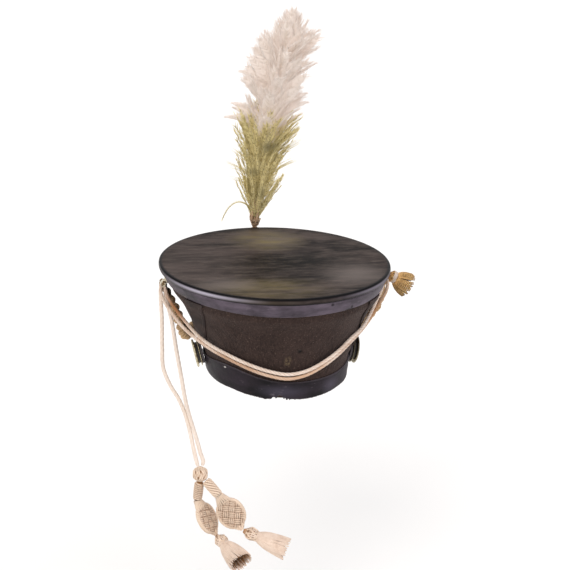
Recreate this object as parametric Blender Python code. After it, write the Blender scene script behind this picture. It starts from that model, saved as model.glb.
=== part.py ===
"""Bell-topped felt cap with a leather crown, feather plume and hanging cap lines.

Metres, +Z up. The origin is the centre of the head opening, in the plane of the rim.
+Y is the front of the cap, +X the wearer's right.
"""
import math

import bmesh
import bpy
import numpy as np
from mathutils import Vector

for old in list(bpy.data.objects):
    bpy.data.objects.remove(old, do_unlink=True)

# Crown
CROWN_HEIGHT = 0.1360
BASE_HALF_WIDTH = 0.0857
TOP_HALF_WIDTH = 0.1379
BASE_OVAL = 1.20
TOP_OVAL = 1.02
TOP_LEAN = -0.008
BASE_LEAN = -0.022
TOP_SHIFT = -0.0040
FELT_WALL = 0.0025
SEAT = 0.0004
SEGMENTS = 48

# Leather on the crown
LEATHER = 0.0018
LEATHER_PROUD = 0.0002
FELT_STEP = 0.0014
TOP_SHEET = 0.0026
RIM_ROLL = 0.0075
TOP_BAND = 0.0145
BASE_BAND = 0.0210
BAND_RISE = 0.50
BAND_DIP = 0.28
TOP_SAG = 0.0012

# Side straps: a V of leather from the top band down to each side boss
STRAP_FOOT_HALF = 0.0330
STRAP_HEAD_HALF = 0.0880
STRAP_ARM = 0.0260
STRAP_THICK = 0.0015

# Side bosses
BOSS_HEIGHT = 0.0220
BOSS_RADIUS = 0.0172
BOSS_DEPTH = 0.0125

# Peak
PEAK_REACH = 0.0440
PEAK_HALF_ANGLE = 67.5
PEAK_DROP = 0.0240
PEAK_THICK = 0.0022
PEAK_SEAT_HEIGHT = 0.0060

# Plume
SOCKET_RADIUS = 0.0052
SOCKET_LENGTH = 0.0210
SOCKET_BELOW = 0.0030
SOCKET_TURN = 91.2
STEM_RADIUS = 0.0024
STEM_SEATED = 0.0170
STEM_BARE = 0.0260
GREEN_LENGTH = 0.1180
WHITE_LENGTH = 0.1290
PLUME_HALF_WIDTH = 0.0400
LOCK_DROP = 0.62

# Hooks
HOOK_BELOW = 0.0210
HOOK_WIRE = 0.0013
HOOK_PLATE = 0.0046
HOOK_REACH = 0.0065
HOOK_DROP = 0.0085

# Cords
CORD_DIAMETER = 0.0042
LINE_DIAMETER = 0.0048
PLAIT_WIDTH = 0.0190
PLAIT_THICK = 0.0100
PLAIT_PITCH = 0.0300

# Slide knot, wound collars, woven flounders and tassels
TRIM_GAP = 0.0003
KNOT_RADIUS = 0.0095
KNOT_CENTRE = (-0.1009, -0.0760, -0.1024)
COLLAR_LENGTH = 0.0185
COLLAR_RADIUS = 0.0060
NECK_RADIUS = 0.0024
NECK_LENGTH = 0.0024
FLOUNDER_LENGTH = 0.0490
FLOUNDER_WIDTH = 0.0330
FLOUNDER_THICK = 0.0095
LEFT_TASSEL = 0.0520
RIGHT_TASSEL = 0.0570
TASSEL_HEAD = 0.0075
TASSEL_SKIRT = 0.0155
TUFT_LENGTH = 0.0345
TUFT_NECK = 0.17
TUFT_HEAD = 0.0062
TUFT_SKIRT = 0.0150

# Crown outline: share of the height, share of the flare from base to top
OUTLINE = (
    (0.000, 0.000),
    (0.045, 0.010),
    (0.160, 0.054),
    (0.350, 0.188),
    (0.540, 0.395),
    (0.690, 0.590),
    (0.770, 0.734),
    (0.860, 0.849),
    (0.950, 0.954),
    (1.000, 1.000),
)

# Dents: degrees round, share of the height, depth as a share of the felt wall,
# half-width in degrees, half-height as a share of the height
DENTS = (
    (248.0, 0.50, 0.50, 16.0, 0.20),
    (292.0, 0.36, 0.44, 13.0, 0.17),
    (205.0, 0.62, 0.40, 14.0, 0.22),
    (325.0, 0.60, 0.36, 15.0, 0.22),
    (70.0, 0.45, 0.50, 20.0, 0.22),
    (128.0, 0.58, 0.36, 14.0, 0.20),
)

# Worn lower edge of the base band: degrees round, drop as a share of the band, half-width
WORN_EDGE = (
    (262.0, -0.13, 4.0),
    (253.0, 0.05, 8.0),
    (285.0, 0.04, 12.0),
    (318.0, -0.05, 9.0),
    (222.0, -0.06, 10.0),
    (60.0, 0.05, 14.0),
    (140.0, -0.04, 12.0),
)

# Edges of the bands that aren't level: degrees round, share of the full move, half-width
BAND_RISES = ((221.0, 1.00, 27.0), (330.0, 0.12, 14.0))
BAND_DIPS = ((262.0, 1.00, 24.0),)

# Plume: share of the length, sideways and forward offset from the socket as shares of the
# length, half-width as a share of the widest
PLUME_AXIS = (
    (0.000, 0.000, 0.000, 0.06),
    (0.030, 0.002, 0.000, 0.13),
    (0.086, 0.007, 0.001, 0.36),
    (0.145, 0.011, 0.002, 0.58),
    (0.200, 0.015, 0.003, 0.74),
    (0.320, 0.026, 0.004, 0.86),
    (0.396, 0.038, 0.006, 0.95),
    (0.474, 0.048, 0.007, 0.99),
    (0.548, 0.063, 0.008, 1.00),
    (0.624, 0.084, 0.008, 0.97),
    (0.698, 0.100, 0.007, 1.00),
    (0.772, 0.124, 0.005, 1.00),
    (0.844, 0.149, 0.002, 0.95),
    (0.919, 0.163, -0.001, 0.82),
    (0.965, 0.161, -0.004, 0.52),
    (1.000, 0.156, -0.008, 0.10),
)

# Routes of the cords, from the left hook, in metres
BACK_UPPER_ROUTE = (
    (-0.1356, -0.0039, 0.1088),
    (-0.1330, -0.0082, 0.0985),
    (-0.1245, -0.0180, 0.0862),
    (-0.1125, -0.0320, 0.0725),
    (-0.1000, -0.0470, 0.0612),
    (-0.0855, -0.0655, 0.0548),
    (-0.0710, -0.0811, 0.0508),
    (-0.0574, -0.0918, 0.0466),
    (-0.0434, -0.1001, 0.0425),
    (-0.0240, -0.1070, 0.0375),
    (-0.0039, -0.1095, 0.0342),
    (0.0162, -0.1083, 0.0366),
    (0.0369, -0.1028, 0.0440),
    (0.0585, -0.0928, 0.0548),
    (0.0745, -0.0790, 0.0632),
    (0.0906, -0.0618, 0.0684),
    (0.1060, -0.0376, 0.0768),
    (0.1195, -0.0175, 0.0905),
    (0.1266, -0.0082, 0.0985),
    (0.1289, -0.0039, 0.1066),
)
BACK_LOWER_ROUTE = (
    (-0.1408, -0.0039, 0.1115),
    (-0.1407, -0.0056, 0.1045),
    (-0.1380, -0.0095, 0.0955),
    (-0.1283, -0.0188, 0.0808),
    (-0.1150, -0.0336, 0.0660),
    (-0.0995, -0.0490, 0.0560),
    (-0.0845, -0.0648, 0.0494),
    (-0.0702, -0.0802, 0.0455),
    (-0.0568, -0.0908, 0.0412),
    (-0.0430, -0.0991, 0.0368),
    (-0.0238, -0.1060, 0.0318),
    (-0.0039, -0.1086, 0.0285),
    (0.0160, -0.1074, 0.0312),
    (0.0366, -0.1019, 0.0388),
    (0.0577, -0.0918, 0.0496),
    (0.0740, -0.0778, 0.0580),
    (0.0890, -0.0600, 0.0632),
    (0.1064, -0.0375, 0.0718),
    (0.1225, -0.0188, 0.0860),
    (0.1318, -0.0092, 0.0962),
    (0.1341, -0.0056, 0.1030),
    (0.1342, -0.0039, 0.1090),
)
LEFT_LINE_ROUTE = (
    (-0.1402, 0.0006, 0.1062),
    (-0.1402, -0.0006, 0.0930),
    (-0.1394, -0.0040, 0.0708),
    (-0.1396, -0.0090, 0.0370),
    (-0.1386, -0.0150, 0.0086),
    (-0.1316, -0.0225, -0.0090),
    (-0.1220, -0.0325, -0.0240),
    (-0.1152, -0.0425, -0.0402),
    (-0.1110, -0.0525, -0.0566),
    (-0.1074, -0.0640, -0.0762),
    (-0.1044, -0.0718, -0.0895),
    (-0.1034, -0.0730, -0.0933),
)
RIGHT_LINE_ROUTE = (
    (-0.1350, 0.0006, 0.1062),
    (-0.1334, -0.0026, 0.0930),
    (-0.1286, -0.0120, 0.0702),
    (-0.1240, -0.0230, 0.0362),
    (-0.1190, -0.0325, 0.0046),
    (-0.1142, -0.0420, -0.0260),
    (-0.1092, -0.0505, -0.0455),
    (-0.1042, -0.0585, -0.0622),
    (-0.0998, -0.0665, -0.0790),
    (-0.0971, -0.0724, -0.0894),
    (-0.0981, -0.0733, -0.0927),
)
PLAIT_ROUTE = (
    (-0.1372, 0.0040, 0.1115),
    (-0.1350, 0.0098, 0.1050),
    (-0.1312, 0.0132, 0.0965),
    (-0.1200, 0.0165, 0.0700),
    (-0.1125, 0.0240, 0.0490),
    (-0.1065, 0.0380, 0.0345),
    (-0.0960, 0.0620, 0.0290),
    (-0.0760, 0.0880, 0.0265),
    (-0.0440, 0.1090, 0.0255),
    (0.0000, 0.1180, 0.0250),
    (0.0430, 0.1090, 0.0265),
    (0.0750, 0.0880, 0.0290),
    (0.0965, 0.0620, 0.0335),
    (0.1085, 0.0400, 0.0420),
    (0.1170, 0.0250, 0.0580),
    (0.1236, 0.0160, 0.0790),
    (0.1280, 0.0125, 0.0950),
    (0.1300, 0.0090, 0.1030),
    (0.1308, 0.0042, 0.1090),
)

# Directions in which each hanging side runs: collar, flounder, tassel, and the flounder's face
LEFT_HANG = (
    (-0.10, 0.00, -0.99),
    (0.44, -0.25, -0.86),
    (0.47, -0.84, -0.26),
    (0.80, -0.60, 0.20),
)
RIGHT_HANG = (
    (0.61, -0.45, -0.65),
    (0.53, -0.35, -0.77),
    (0.89, -0.28, -0.35),
    (-0.15, -1.00, 0.10),
)
TUFT_DIRECTION = (0.85, 0.00, -0.53)


def material(name, colour, roughness, metallic=0.0):
    mat = bpy.data.materials.new(name)
    mat.use_nodes = True
    shader = mat.node_tree.nodes["Principled BSDF"]
    shader.inputs["Base Color"].default_value = (*colour, 1.0)
    shader.inputs["Roughness"].default_value = roughness
    shader.inputs["Metallic"].default_value = metallic
    mat.diffuse_color = (*colour, 1.0)
    return mat


def smooth_at(xs, ys, x):
    """Value at x of the smooth curve through the table's points."""
    x = min(max(x, xs[0]), xs[-1])
    k = min(int(np.searchsorted(xs, x, side="right")) - 1, len(xs) - 2)
    slopes = np.gradient(np.array(ys, float), np.array(xs, float))
    step = xs[k + 1] - xs[k]
    t = (x - xs[k]) / step
    return float((2 * t ** 3 - 3 * t ** 2 + 1) * ys[k] + (t ** 3 - 2 * t ** 2 + t) * step * slopes[k]
                 + (3 * t ** 2 - 2 * t ** 3) * ys[k + 1] + (t ** 3 - t ** 2) * step * slopes[k + 1])


def column(table, k):
    return [row[k] for row in table]


def turn_between(a, b):
    """Smallest angle in degrees between two directions round the crown."""
    return abs((a - b + 180.0) % 360.0 - 180.0)


def edge_move(table, degrees):
    """How far an edge has moved at this direction, as a share."""
    return sum(deep * math.exp(-(turn_between(degrees, where) / wide) ** 2) for where, deep, wide in table)


def half_width(height):
    flare = smooth_at(column(OUTLINE, 0), column(OUTLINE, 1), height / CROWN_HEIGHT)
    return BASE_HALF_WIDTH + (TOP_HALF_WIDTH - BASE_HALF_WIDTH) * flare


def oval(height):
    share = min(max(height / CROWN_HEIGHT, 0.0), 1.0)
    return BASE_OVAL + (TOP_OVAL - BASE_OVAL) * share


def dent(degrees, height):
    depth = 0.0
    for where, share, deep, wide, tall in DENTS:
        away = (turn_between(degrees, where) / wide) ** 2 + ((height / CROWN_HEIGHT - share) / tall) ** 2
        depth += deep * FELT_WALL * math.exp(-away)
    return depth


def wall_point(degrees, height, proud):
    """Point on the crown's wall, proud of its outline by the given distance."""
    turn = math.radians(degrees)
    across = half_width(height)
    out = proud - dent(degrees, height)
    share = height / CROWN_HEIGHT
    x = (across + out) * math.cos(turn)
    y = (across * oval(height) + out) * math.sin(turn)
    return Vector((x + TOP_SHIFT * share, y, height + (BASE_LEAN + (TOP_LEAN - BASE_LEAN) * share) * x))


def wall_degrees(y, height, side):
    """Direction round the crown of the wall point with this y, on the side +1 or -1."""
    turn = math.degrees(math.asin(y / (half_width(height) * oval(height))))
    return turn if side > 0 else 180.0 - turn


def wall_normal(degrees, height):
    here = wall_point(degrees, height, 0.0)
    round_it = wall_point(degrees + 1.0, height, 0.0) - here
    up_it = wall_point(degrees, height + 0.001, 0.0) - here
    return round_it.cross(up_it).normalized()


def solid(name, points, faces, mat, smooth=True):
    mesh = bpy.data.meshes.new(name)
    mesh.from_pydata([tuple(p) for p in points], [], faces)
    work = bmesh.new()
    work.from_mesh(mesh)
    bmesh.ops.recalc_face_normals(work, faces=work.faces[:])
    work.to_mesh(mesh)
    work.free()
    for polygon in mesh.polygons:
        polygon.use_smooth = smooth
    mesh.materials.append(mat)
    part = bpy.data.objects.new(name, mesh)
    bpy.context.scene.collection.objects.link(part)
    return part


def ring_solid(name, section, mat, shift=None):
    """Closed section of (height, proud) points carried all the way round the crown."""
    count = len(section)
    points = []
    for i in range(SEGMENTS):
        degrees = 360.0 * i / SEGMENTS
        for k, (height, proud) in enumerate(section):
            move = shift(k, degrees, height) if shift else 0.0
            points.append(wall_point(degrees, height + move, proud))
    faces = []
    for i in range(SEGMENTS):
        after = (i + 1) % SEGMENTS
        for k in range(count):
            follow = (k + 1) % count
            faces.append((i * count + k, after * count + k, after * count + follow, i * count + follow))
    return solid(name, points, faces, mat)


def loft_solid(name, rings, mat, start=None, end=None):
    """Closed skin over rings of points, ended by a single point or by a flat face."""
    count = len(rings[0])
    points = [p for ring in rings for p in ring]
    faces = []
    for i in range(len(rings) - 1):
        for k in range(count):
            follow = (k + 1) % count
            faces.append((i * count + k, i * count + follow, (i + 1) * count + follow, (i + 1) * count + k))
    last = (len(rings) - 1) * count
    if start is None:
        faces.append(tuple(range(count)))
    else:
        points.append(start)
        faces.extend((len(points) - 1, (k + 1) % count, k) for k in range(count))
    if end is None:
        faces.append(tuple(last + k for k in reversed(range(count))))
    else:
        points.append(end)
        faces.extend((len(points) - 1, last + k, last + (k + 1) % count) for k in range(count))
    return solid(name, points, faces, mat)


def slab_solid(name, outer, inner, faces, mat):
    """Closed sheet between two layers of matching points."""
    count = len(outer)
    used = {}
    for face in faces:
        for k, a in enumerate(face):
            b = face[(k + 1) % len(face)]
            used[(a, b)] = used.get((a, b), 0) + 1
    skin = [tuple(face) for face in faces]
    skin += [tuple(count + k for k in reversed(face)) for face in faces]
    skin += [(b, a, count + a, count + b) for a, b in used if (b, a) not in used]
    return solid(name, list(outer) + list(inner), skin, mat)


def frame_at(direction, hint):
    """Two directions square to the first, the second of them nearest to the hint."""
    along = Vector(direction).normalized()
    side = along.cross(Vector(hint)).normalized()
    return along, side, side.cross(along).normalized()


def smooth_route(route, spacing):
    """Points at even spacing on the smooth curve through a route."""
    route = [Vector(p) for p in route]
    far = [0.0]
    for a, b in zip(route, route[1:]):
        far.append(far[-1] + (b - a).length)
    tables = [[p[axis] for p in route] for axis in range(3)]
    fine = [Vector([smooth_at(far, tables[axis], far[-1] * i / 400) for axis in range(3)])
            for i in range(401)]
    run = [0.0]
    for a, b in zip(fine, fine[1:]):
        run.append(run[-1] + (b - a).length)
    count = max(2, int(round(run[-1] / spacing)))
    rows = [[p[axis] for p in fine] for axis in range(3)]
    return [Vector([float(np.interp(run[-1] * i / count, run, rows[axis])) for axis in range(3)])
            for i in range(count + 1)]


def cord(name, route, diameter, mat, spacing=3.0):
    points = smooth_route(route, diameter * spacing)
    data = bpy.data.curves.new(name, "CURVE")
    data.dimensions = "3D"
    data.bevel_depth = diameter / 2
    data.bevel_resolution = 2
    data.use_fill_caps = True
    spline = data.splines.new("POLY")
    spline.points.add(len(points) - 1)
    for k, p in enumerate(points):
        spline.points[k].co = (*p, 1.0)
    data.materials.append(mat)
    part = bpy.data.objects.new(name, data)
    bpy.context.scene.collection.objects.link(part)
    return part


def turned_rings(centre, along, side, up, profile, count, ripple=None):
    """Rings about an axis from (distance, radius) pairs, rippled where asked."""
    rings = []
    for n, (far, radius) in enumerate(profile):
        ring = []
        for k in range(count):
            turn = 2 * math.pi * k / count
            grow = ripple(n, turn) if ripple else 1.0
            reach = radius * grow
            ring.append(centre + along * far + side * (reach * math.cos(turn)) + up * (reach * math.sin(turn)))
        rings.append(ring)
    return rings


FELT = material("black_felt", (0.030, 0.022, 0.018), 0.95)
CROWN_LEATHER = material("crown_leather", (0.045, 0.040, 0.034), 0.38)
BAND_LEATHER = material("band_leather", (0.060, 0.050, 0.058), 0.42)
STRAP_LEATHER = material("strap_leather", (0.040, 0.034, 0.034), 0.45)
PEAK_LEATHER = material("peak_leather", (0.030, 0.027, 0.027), 0.35)
BRASS = material("old_brass", (0.48, 0.32, 0.12), 0.38, 1.0)
SOCKET_BRASS = material("socket_brass", (0.42, 0.28, 0.11), 0.42, 1.0)
HOOK_BRASS = material("hook_brass", (0.40, 0.30, 0.16), 0.40, 1.0)
QUILL = material("quill", (0.17, 0.07, 0.03), 0.50)
GREEN_FEATHER = material("green_feather", (0.33, 0.31, 0.10), 0.85)
WHITE_FEATHER = material("white_feather", (0.73, 0.65, 0.62), 0.85)
CREAM_CORD = material("cream_cord", (0.88, 0.72, 0.55), 0.85)
LINE_CORD = material("line_cord", (0.84, 0.66, 0.48), 0.85)
GOLD_PLAIT = material("gold_plait", (0.42, 0.26, 0.10), 0.75)
KNOT_CORD = material("knot_cord", (0.80, 0.60, 0.42), 0.85)
TASSEL_CORD = material("tassel_cord", (0.80, 0.62, 0.46), 0.85)
TUFT_GOLD = material("tuft_gold", (0.55, 0.36, 0.15), 0.75)


def felt_proud(height):
    """The felt is thinner where leather covers it, so that the leather lies nearly flush."""
    under = LEATHER - LEATHER_PROUD + SEAT
    rows = open_rows()
    if rows[0] <= height <= rows[-1]:
        return FELT_STEP - under
    return -under


def open_rows():
    """Heights of the rows of facets on the felt that no band covers."""
    low = BASE_BAND * (1.0 + BAND_RISE) + 0.0055
    high = CROWN_HEIGHT - RIM_ROLL - TOP_BAND * (1.0 + BAND_DIP) - SEAT - 0.0045
    return [low + (high - low) * k / 5 for k in range(6)]


def crown_body():
    high = CROWN_HEIGHT - RIM_ROLL - TOP_BAND * (1.0 + BAND_DIP) - SEAT - 0.0005
    top = CROWN_HEIGHT - TOP_SHEET - SEAT
    rows = open_rows()
    outer = [0.0015, BASE_BAND / 2, BASE_BAND, rows[0] - 0.004] + rows + [high, (high + top) / 2 - 0.0015, top]
    section = [(h, felt_proud(h)) for h in outer]
    inner = [top, high, rows[3], rows[1], 0.0015]
    section += [(h, -(LEATHER - LEATHER_PROUD + SEAT) - FELT_WALL) for h in inner]
    return ring_solid("crown_body", section, FELT)


def crown_top():
    """Leather disc whose edge is rolled down over the top of the felt."""
    flat = (0.60, 0.965)
    roll = ((0.9915, 0.0), (0.9985, 0.11), (1.0, 0.42), (0.999, 0.78), (0.9945, 1.0))
    under = LEATHER - LEATHER_PROUD
    rows = []

    def plate(share, drop):
        ring = []
        for i in range(SEGMENTS):
            edge = wall_point(360.0 * i / SEGMENTS, CROWN_HEIGHT, 0.0)
            sag = TOP_SAG * (1.0 - share ** 2)
            x = (edge.x - TOP_SHIFT) * share
            ring.append(Vector((x + TOP_SHIFT, edge.y * share, CROWN_HEIGHT + TOP_LEAN * x - sag - drop)))
        return ring

    for share in flat:
        rows.append(plate(share, 0.0))
    for share, drop in roll:
        rows.append(plate(share, drop * RIM_ROLL))
    for height in (CROWN_HEIGHT - RIM_ROLL, CROWN_HEIGHT - TOP_SHEET):
        rows.append([wall_point(360.0 * i / SEGMENTS, height, -under) for i in range(SEGMENTS)])
    rows.append(plate(0.70, TOP_SHEET))
    return loft_solid("crown_top", rows, CROWN_LEATHER, start=Vector((TOP_SHIFT, 0, CROWN_HEIGHT - TOP_SAG)),
                      end=Vector((TOP_SHIFT, 0, CROWN_HEIGHT - TOP_SAG - TOP_SHEET)))


def top_band():
    upper = CROWN_HEIGHT - RIM_ROLL - SEAT
    lower = upper - TOP_BAND
    rows = (lower, (lower + upper) / 2, upper)
    section = [(h, LEATHER_PROUD) for h in rows]
    section += [(h, LEATHER_PROUD - LEATHER) for h in reversed(rows)]

    def shift(k, degrees, height):
        return -edge_move(BAND_DIPS, degrees) * BAND_DIP * TOP_BAND if k in (0, 5) else 0.0

    return ring_solid("top_band", section, BAND_LEATHER, shift)


def base_band():
    rows = (0.0, BASE_BAND * 0.5, BASE_BAND)
    section = [(h, LEATHER_PROUD) for h in rows]
    section += [(h, LEATHER_PROUD - LEATHER) for h in reversed(rows)]

    def shift(k, degrees, height):
        if k in (2, 3):
            return edge_move(BAND_RISES, degrees) * BAND_RISE * BASE_BAND
        if k in (0, 5):
            return -edge_move(WORN_EDGE, degrees) * BASE_BAND
        return 0.0

    return ring_solid("base_band", section, BAND_LEATHER, shift)


def side_strap(name, side):
    """V of leather laid on the felt, its arms meeting behind the boss."""
    head = CROWN_HEIGHT - RIM_ROLL - TOP_BAND - 3 * SEAT
    levels = open_rows()[1:] + [head]
    foot = open_rows()[0]
    across = 3
    proud_in = FELT_STEP - (LEATHER - LEATHER_PROUD)
    index = {}
    flat = []

    def corner(y, height):
        key = (round(y, 6), round(height, 6))
        if key not in index:
            index[key] = len(flat)
            flat.append(key)
        return index[key]

    def outer_edge(height):
        share = (height - foot) / (head - foot)
        return STRAP_FOOT_HALF + (STRAP_HEAD_HALF - STRAP_FOOT_HALF) * share

    faces = []
    top_inner = STRAP_HEAD_HALF - STRAP_ARM
    for arm in (1, -1):
        lower = [corner(arm * outer_edge(foot) * k / across, foot) for k in range(across + 1)]
        for height in levels:
            inside = top_inner * (height - levels[0]) / (head - levels[0])
            edge = outer_edge(height)
            upper = [corner(arm * (inside + (edge - inside) * k / across), height) for k in range(across + 1)]
            for k in range(across):
                for half in ((lower[k], lower[k + 1], upper[k]), (lower[k + 1], upper[k + 1], upper[k])):
                    if len(set(half)) == 3:
                        faces.append(half if arm > 0 else half[::-1])
            lower = upper
    outer = [wall_point(wall_degrees(y, h, side), h, proud_in + STRAP_THICK) for y, h in flat]
    inner = [wall_point(wall_degrees(y, h, side), h, proud_in) for y, h in flat]
    return slab_solid(name, outer, inner, faces, STRAP_LEATHER)


def side_boss(name, side):
    """Dished brass boss on a small backing, set just clear of all the leather behind it."""
    degrees = 0.0 if side > 0 else 180.0
    normal = wall_normal(degrees, BOSS_HEIGHT)
    if normal.x * side < 0:
        normal = -normal
    middle = wall_point(degrees, BOSS_HEIGHT, 0.0)
    along, side_way, up = frame_at(normal, (0, 0, 1))
    felt_face = FELT_STEP - (LEATHER - LEATHER_PROUD + SEAT)
    clear = -1.0
    for k in range(24):
        for reach in (0.35, 0.70, 0.80):
            spot = middle + side_way * (reach * BOSS_RADIUS * math.cos(k * math.pi / 12)) \
                + up * (reach * BOSS_RADIUS * math.sin(k * math.pi / 12))
            height = spot.z - BASE_LEAN * spot.x
            proud = felt_face if height > BASE_BAND * 1.1 else LEATHER_PROUD
            if height > open_rows()[0]:
                proud = felt_face + SEAT + STRAP_THICK
            near = wall_point(wall_degrees(spot.y, height, side), height, proud)
            clear = max(clear, (near - middle).dot(normal))
    foot = middle + along * (clear + 1.3 * TRIM_GAP)
    shape = ((0.00, 0.80), (0.30, 0.80), (0.36, 0.96), (0.60, 1.00), (0.84, 0.94),
             (0.86, 0.86), (0.62, 0.74), (0.52, 0.46), (0.78, 0.24))
    profile = [(far * BOSS_DEPTH, radius * BOSS_RADIUS) for far, radius in shape]
    rings = turned_rings(foot, along, side_way, up, profile, 18)
    return loft_solid(name, rings, BRASS, end=foot + along * (0.84 * BOSS_DEPTH))


def peak():
    """Leather peak under the front of the base band."""
    step = 360.0 / SEGMENTS
    columns = int(2 * PEAK_HALF_ANGLE / step) + 1
    rows = 4
    outer, inner = [], []
    for i in range(columns):
        degrees = 90.0 - PEAK_HALF_ANGLE + step * i
        share = math.sin(math.pi * (i + 0.6) / (columns + 0.2)) ** 0.62
        seat = wall_point(degrees, PEAK_SEAT_HEIGHT, LEATHER_PROUD + 1.3 * SEAT)
        reach = PEAK_REACH * share
        for k in range(rows):
            part = k / (rows - 1)
            out = Vector((math.cos(math.radians(degrees)) * 0.75, math.sin(math.radians(degrees)), 0.0))
            drop = PEAK_DROP * share * part ** 1.15
            spot = seat + out * (reach * part) - Vector((0, 0, drop))
            outer.append(spot)
            inner.append(spot - Vector((0, 0, PEAK_THICK)))
    faces = []
    for i in range(columns - 1):
        for k in range(rows - 1):
            a = i * rows + k
            faces.append((a, a + 1, a + rows + 1, a + rows))
    return slab_solid("peak", outer, inner, faces, PEAK_LEATHER)


def socket_top():
    return CROWN_HEIGHT - SOCKET_BELOW


def plume_foot():
    return socket_top() + STEM_BARE


def plume_change():
    return plume_foot() + GREEN_LENGTH


def plume_tip():
    return plume_change() + WHITE_LENGTH


def socket_axis():
    """Foot of the plume's axis, in the plane of the crown's top."""
    edge = wall_point(SOCKET_TURN, CROWN_HEIGHT, SEAT + SOCKET_RADIUS)
    return Vector((edge.x, edge.y, 0.0))


def plume_socket():
    axis = socket_axis()
    bore = STEM_RADIUS + SEAT
    high = socket_top()
    low = high - SOCKET_LENGTH
    count = 12
    rings = []
    for radius, height in ((SOCKET_RADIUS * 0.84, low), (SOCKET_RADIUS * 0.84, low + SOCKET_LENGTH * 0.72),
                           (SOCKET_RADIUS, low + SOCKET_LENGTH * 0.78), (SOCKET_RADIUS, high),
                           (bore, high), (bore, low)):
        rings.append([axis + Vector((radius * math.cos(2 * math.pi * k / count),
                                     radius * math.sin(2 * math.pi * k / count), height))
                      for k in range(count)])
    points = [p for ring in rings for p in ring]
    faces = []
    for i in range(len(rings)):
        after = (i + 1) % len(rings)
        for k in range(count):
            follow = (k + 1) % count
            faces.append((i * count + k, i * count + follow, after * count + follow, after * count + k))
    return solid("plume_socket", points, faces, SOCKET_BRASS)


def plume_point(height):
    """Centre and half-width of the plume at a height."""
    length = plume_tip() - CROWN_HEIGHT
    share = (height - CROWN_HEIGHT) / length
    shares = column(PLUME_AXIS, 0)
    axis = socket_axis()
    sideways = smooth_at(shares, column(PLUME_AXIS, 1), share) * length
    forward = smooth_at(shares, column(PLUME_AXIS, 2), share) * length
    width = smooth_at(shares, column(PLUME_AXIS, 3), share) * PLUME_HALF_WIDTH
    return Vector((axis.x + sideways, axis.y + forward, height)), width


def plume_stem():
    rings = []
    high = socket_top()
    heights = [high - STEM_SEATED, high] + [high + STEM_BARE * k / 4 for k in (1, 2, 3, 4)]
    for height in heights:
        centre, _ = plume_point(height)
        ring = [centre + Vector((STEM_RADIUS * math.cos(2 * math.pi * k / 10),
                                 STEM_RADIUS * math.sin(2 * math.pi * k / 10), 0.0)) for k in range(10)]
        rings.append(ring)
    return loft_solid("plume_stem", rings, QUILL)


def feather_head(name, low, high, mat, locks, phase, narrow_foot):
    """Body of overlapping feather locks, round its own stem."""
    rings = []
    count = locks * 2
    steps = 15
    for n in range(steps + 1):
        share = n / steps
        height = low + (high - low) * share
        centre, width = plume_point(height)
        tight = min(1.0, 0.24 + share / 0.10) if narrow_foot else 1.0
        ring = []
        for k in range(count):
            turn = 2 * math.pi * k / count
            row = math.floor(n / 3)
            rise = (n % 3) / 2
            crest = 1.0 if (k + row) % 2 else 0.66
            reach = width * tight * (crest * (0.80 + 0.20 * rise) + 0.06 * math.sin(3 * turn + phase + 5 * share))
            lift = LOCK_DROP * (high - low) / steps * (1.0 - rise) * crest * (0 < n < steps) * tight
            ring.append(centre + Vector((reach * math.cos(turn), reach * 0.82 * math.sin(turn), -lift)))
        rings.append(ring)
    return loft_solid(name, rings, mat, start=plume_point(low)[0], end=plume_point(high)[0])


def hook(name, side):
    """Brass hook: a plate against the top band, a stem and a bend that turns down and in."""
    degrees = 0.0 if side > 0 else 180.0
    height = CROWN_HEIGHT - HOOK_BELOW
    seat = wall_point(degrees, height, LEATHER_PROUD + SEAT)
    normal = wall_normal(degrees, height)
    if normal.x * side < 0:
        normal = -normal
    out = Vector((side, 0.0, 0.0))
    reach, drop = HOOK_REACH, HOOK_DROP
    bend = ((0.35, 0.02), (0.62, 0.06), (0.86, 0.22), (1.00, 0.48), (0.97, 0.76), (0.78, 0.96),
            (0.50, 1.00), (0.28, 0.84), (0.22, 0.62))
    centres = [seat, seat + normal * 0.0012, seat + normal * 0.0018]
    directions = [normal, normal, normal]
    radii = [HOOK_PLATE, HOOK_PLATE * 0.96, HOOK_WIRE * 1.5]
    route = [seat + out * (a * reach) - Vector((0, 0, b * drop)) for a, b in bend]
    for k, spot in enumerate(route):
        before = route[k - 1] if k else seat
        after = route[k + 1] if k + 1 < len(route) else spot + (spot - before)
        centres.append(spot)
        directions.append((after - before).normalized())
        radii.append(HOOK_WIRE)
    rings = []
    for spot, direction, radius in zip(centres, directions, radii):
        along, one, two = frame_at(direction, (0, 1, 0))
        rings.append([spot + one * (radius * math.cos(2 * math.pi * k / 8))
                      + two * (radius * math.sin(2 * math.pi * k / 8)) for k in range(8)])
    return loft_solid(name, rings, HOOK_BRASS)


def plait():
    """Thick plait of cords as one band with scalloped edges and a rounded face."""
    points = smooth_route(PLAIT_ROUTE, PLAIT_PITCH / 4)
    rings = []
    count = 8
    for n, spot in enumerate(points):
        before, after = points[max(n - 1, 0)], points[min(n + 1, len(points) - 1)]
        outward = Vector((spot.x, spot.y, 0.0)).normalized()
        along, side, up = frame_at(after - before, outward)
        wave = 2 * math.pi * n / 4 + 0.4
        left = 0.86 + 0.14 * math.cos(wave)
        right = 0.86 - 0.14 * math.cos(wave)
        close = min(1.0, 0.45 + 0.22 * min(n, len(points) - 1 - n))
        ring = []
        for k in range(count):
            turn = 2 * math.pi * k / count
            wide = PLAIT_WIDTH / 2 * (left if math.cos(turn) > 0 else right)
            deep = PLAIT_THICK / 2 * (0.86 + 0.14 * math.cos(wave + 2 * turn))
            ring.append(spot + side * (wide * close * math.cos(turn)) + up * (deep * close * math.sin(turn)))
        rings.append(ring)
    return loft_solid("plait_front", rings, GOLD_PLAIT)


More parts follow.
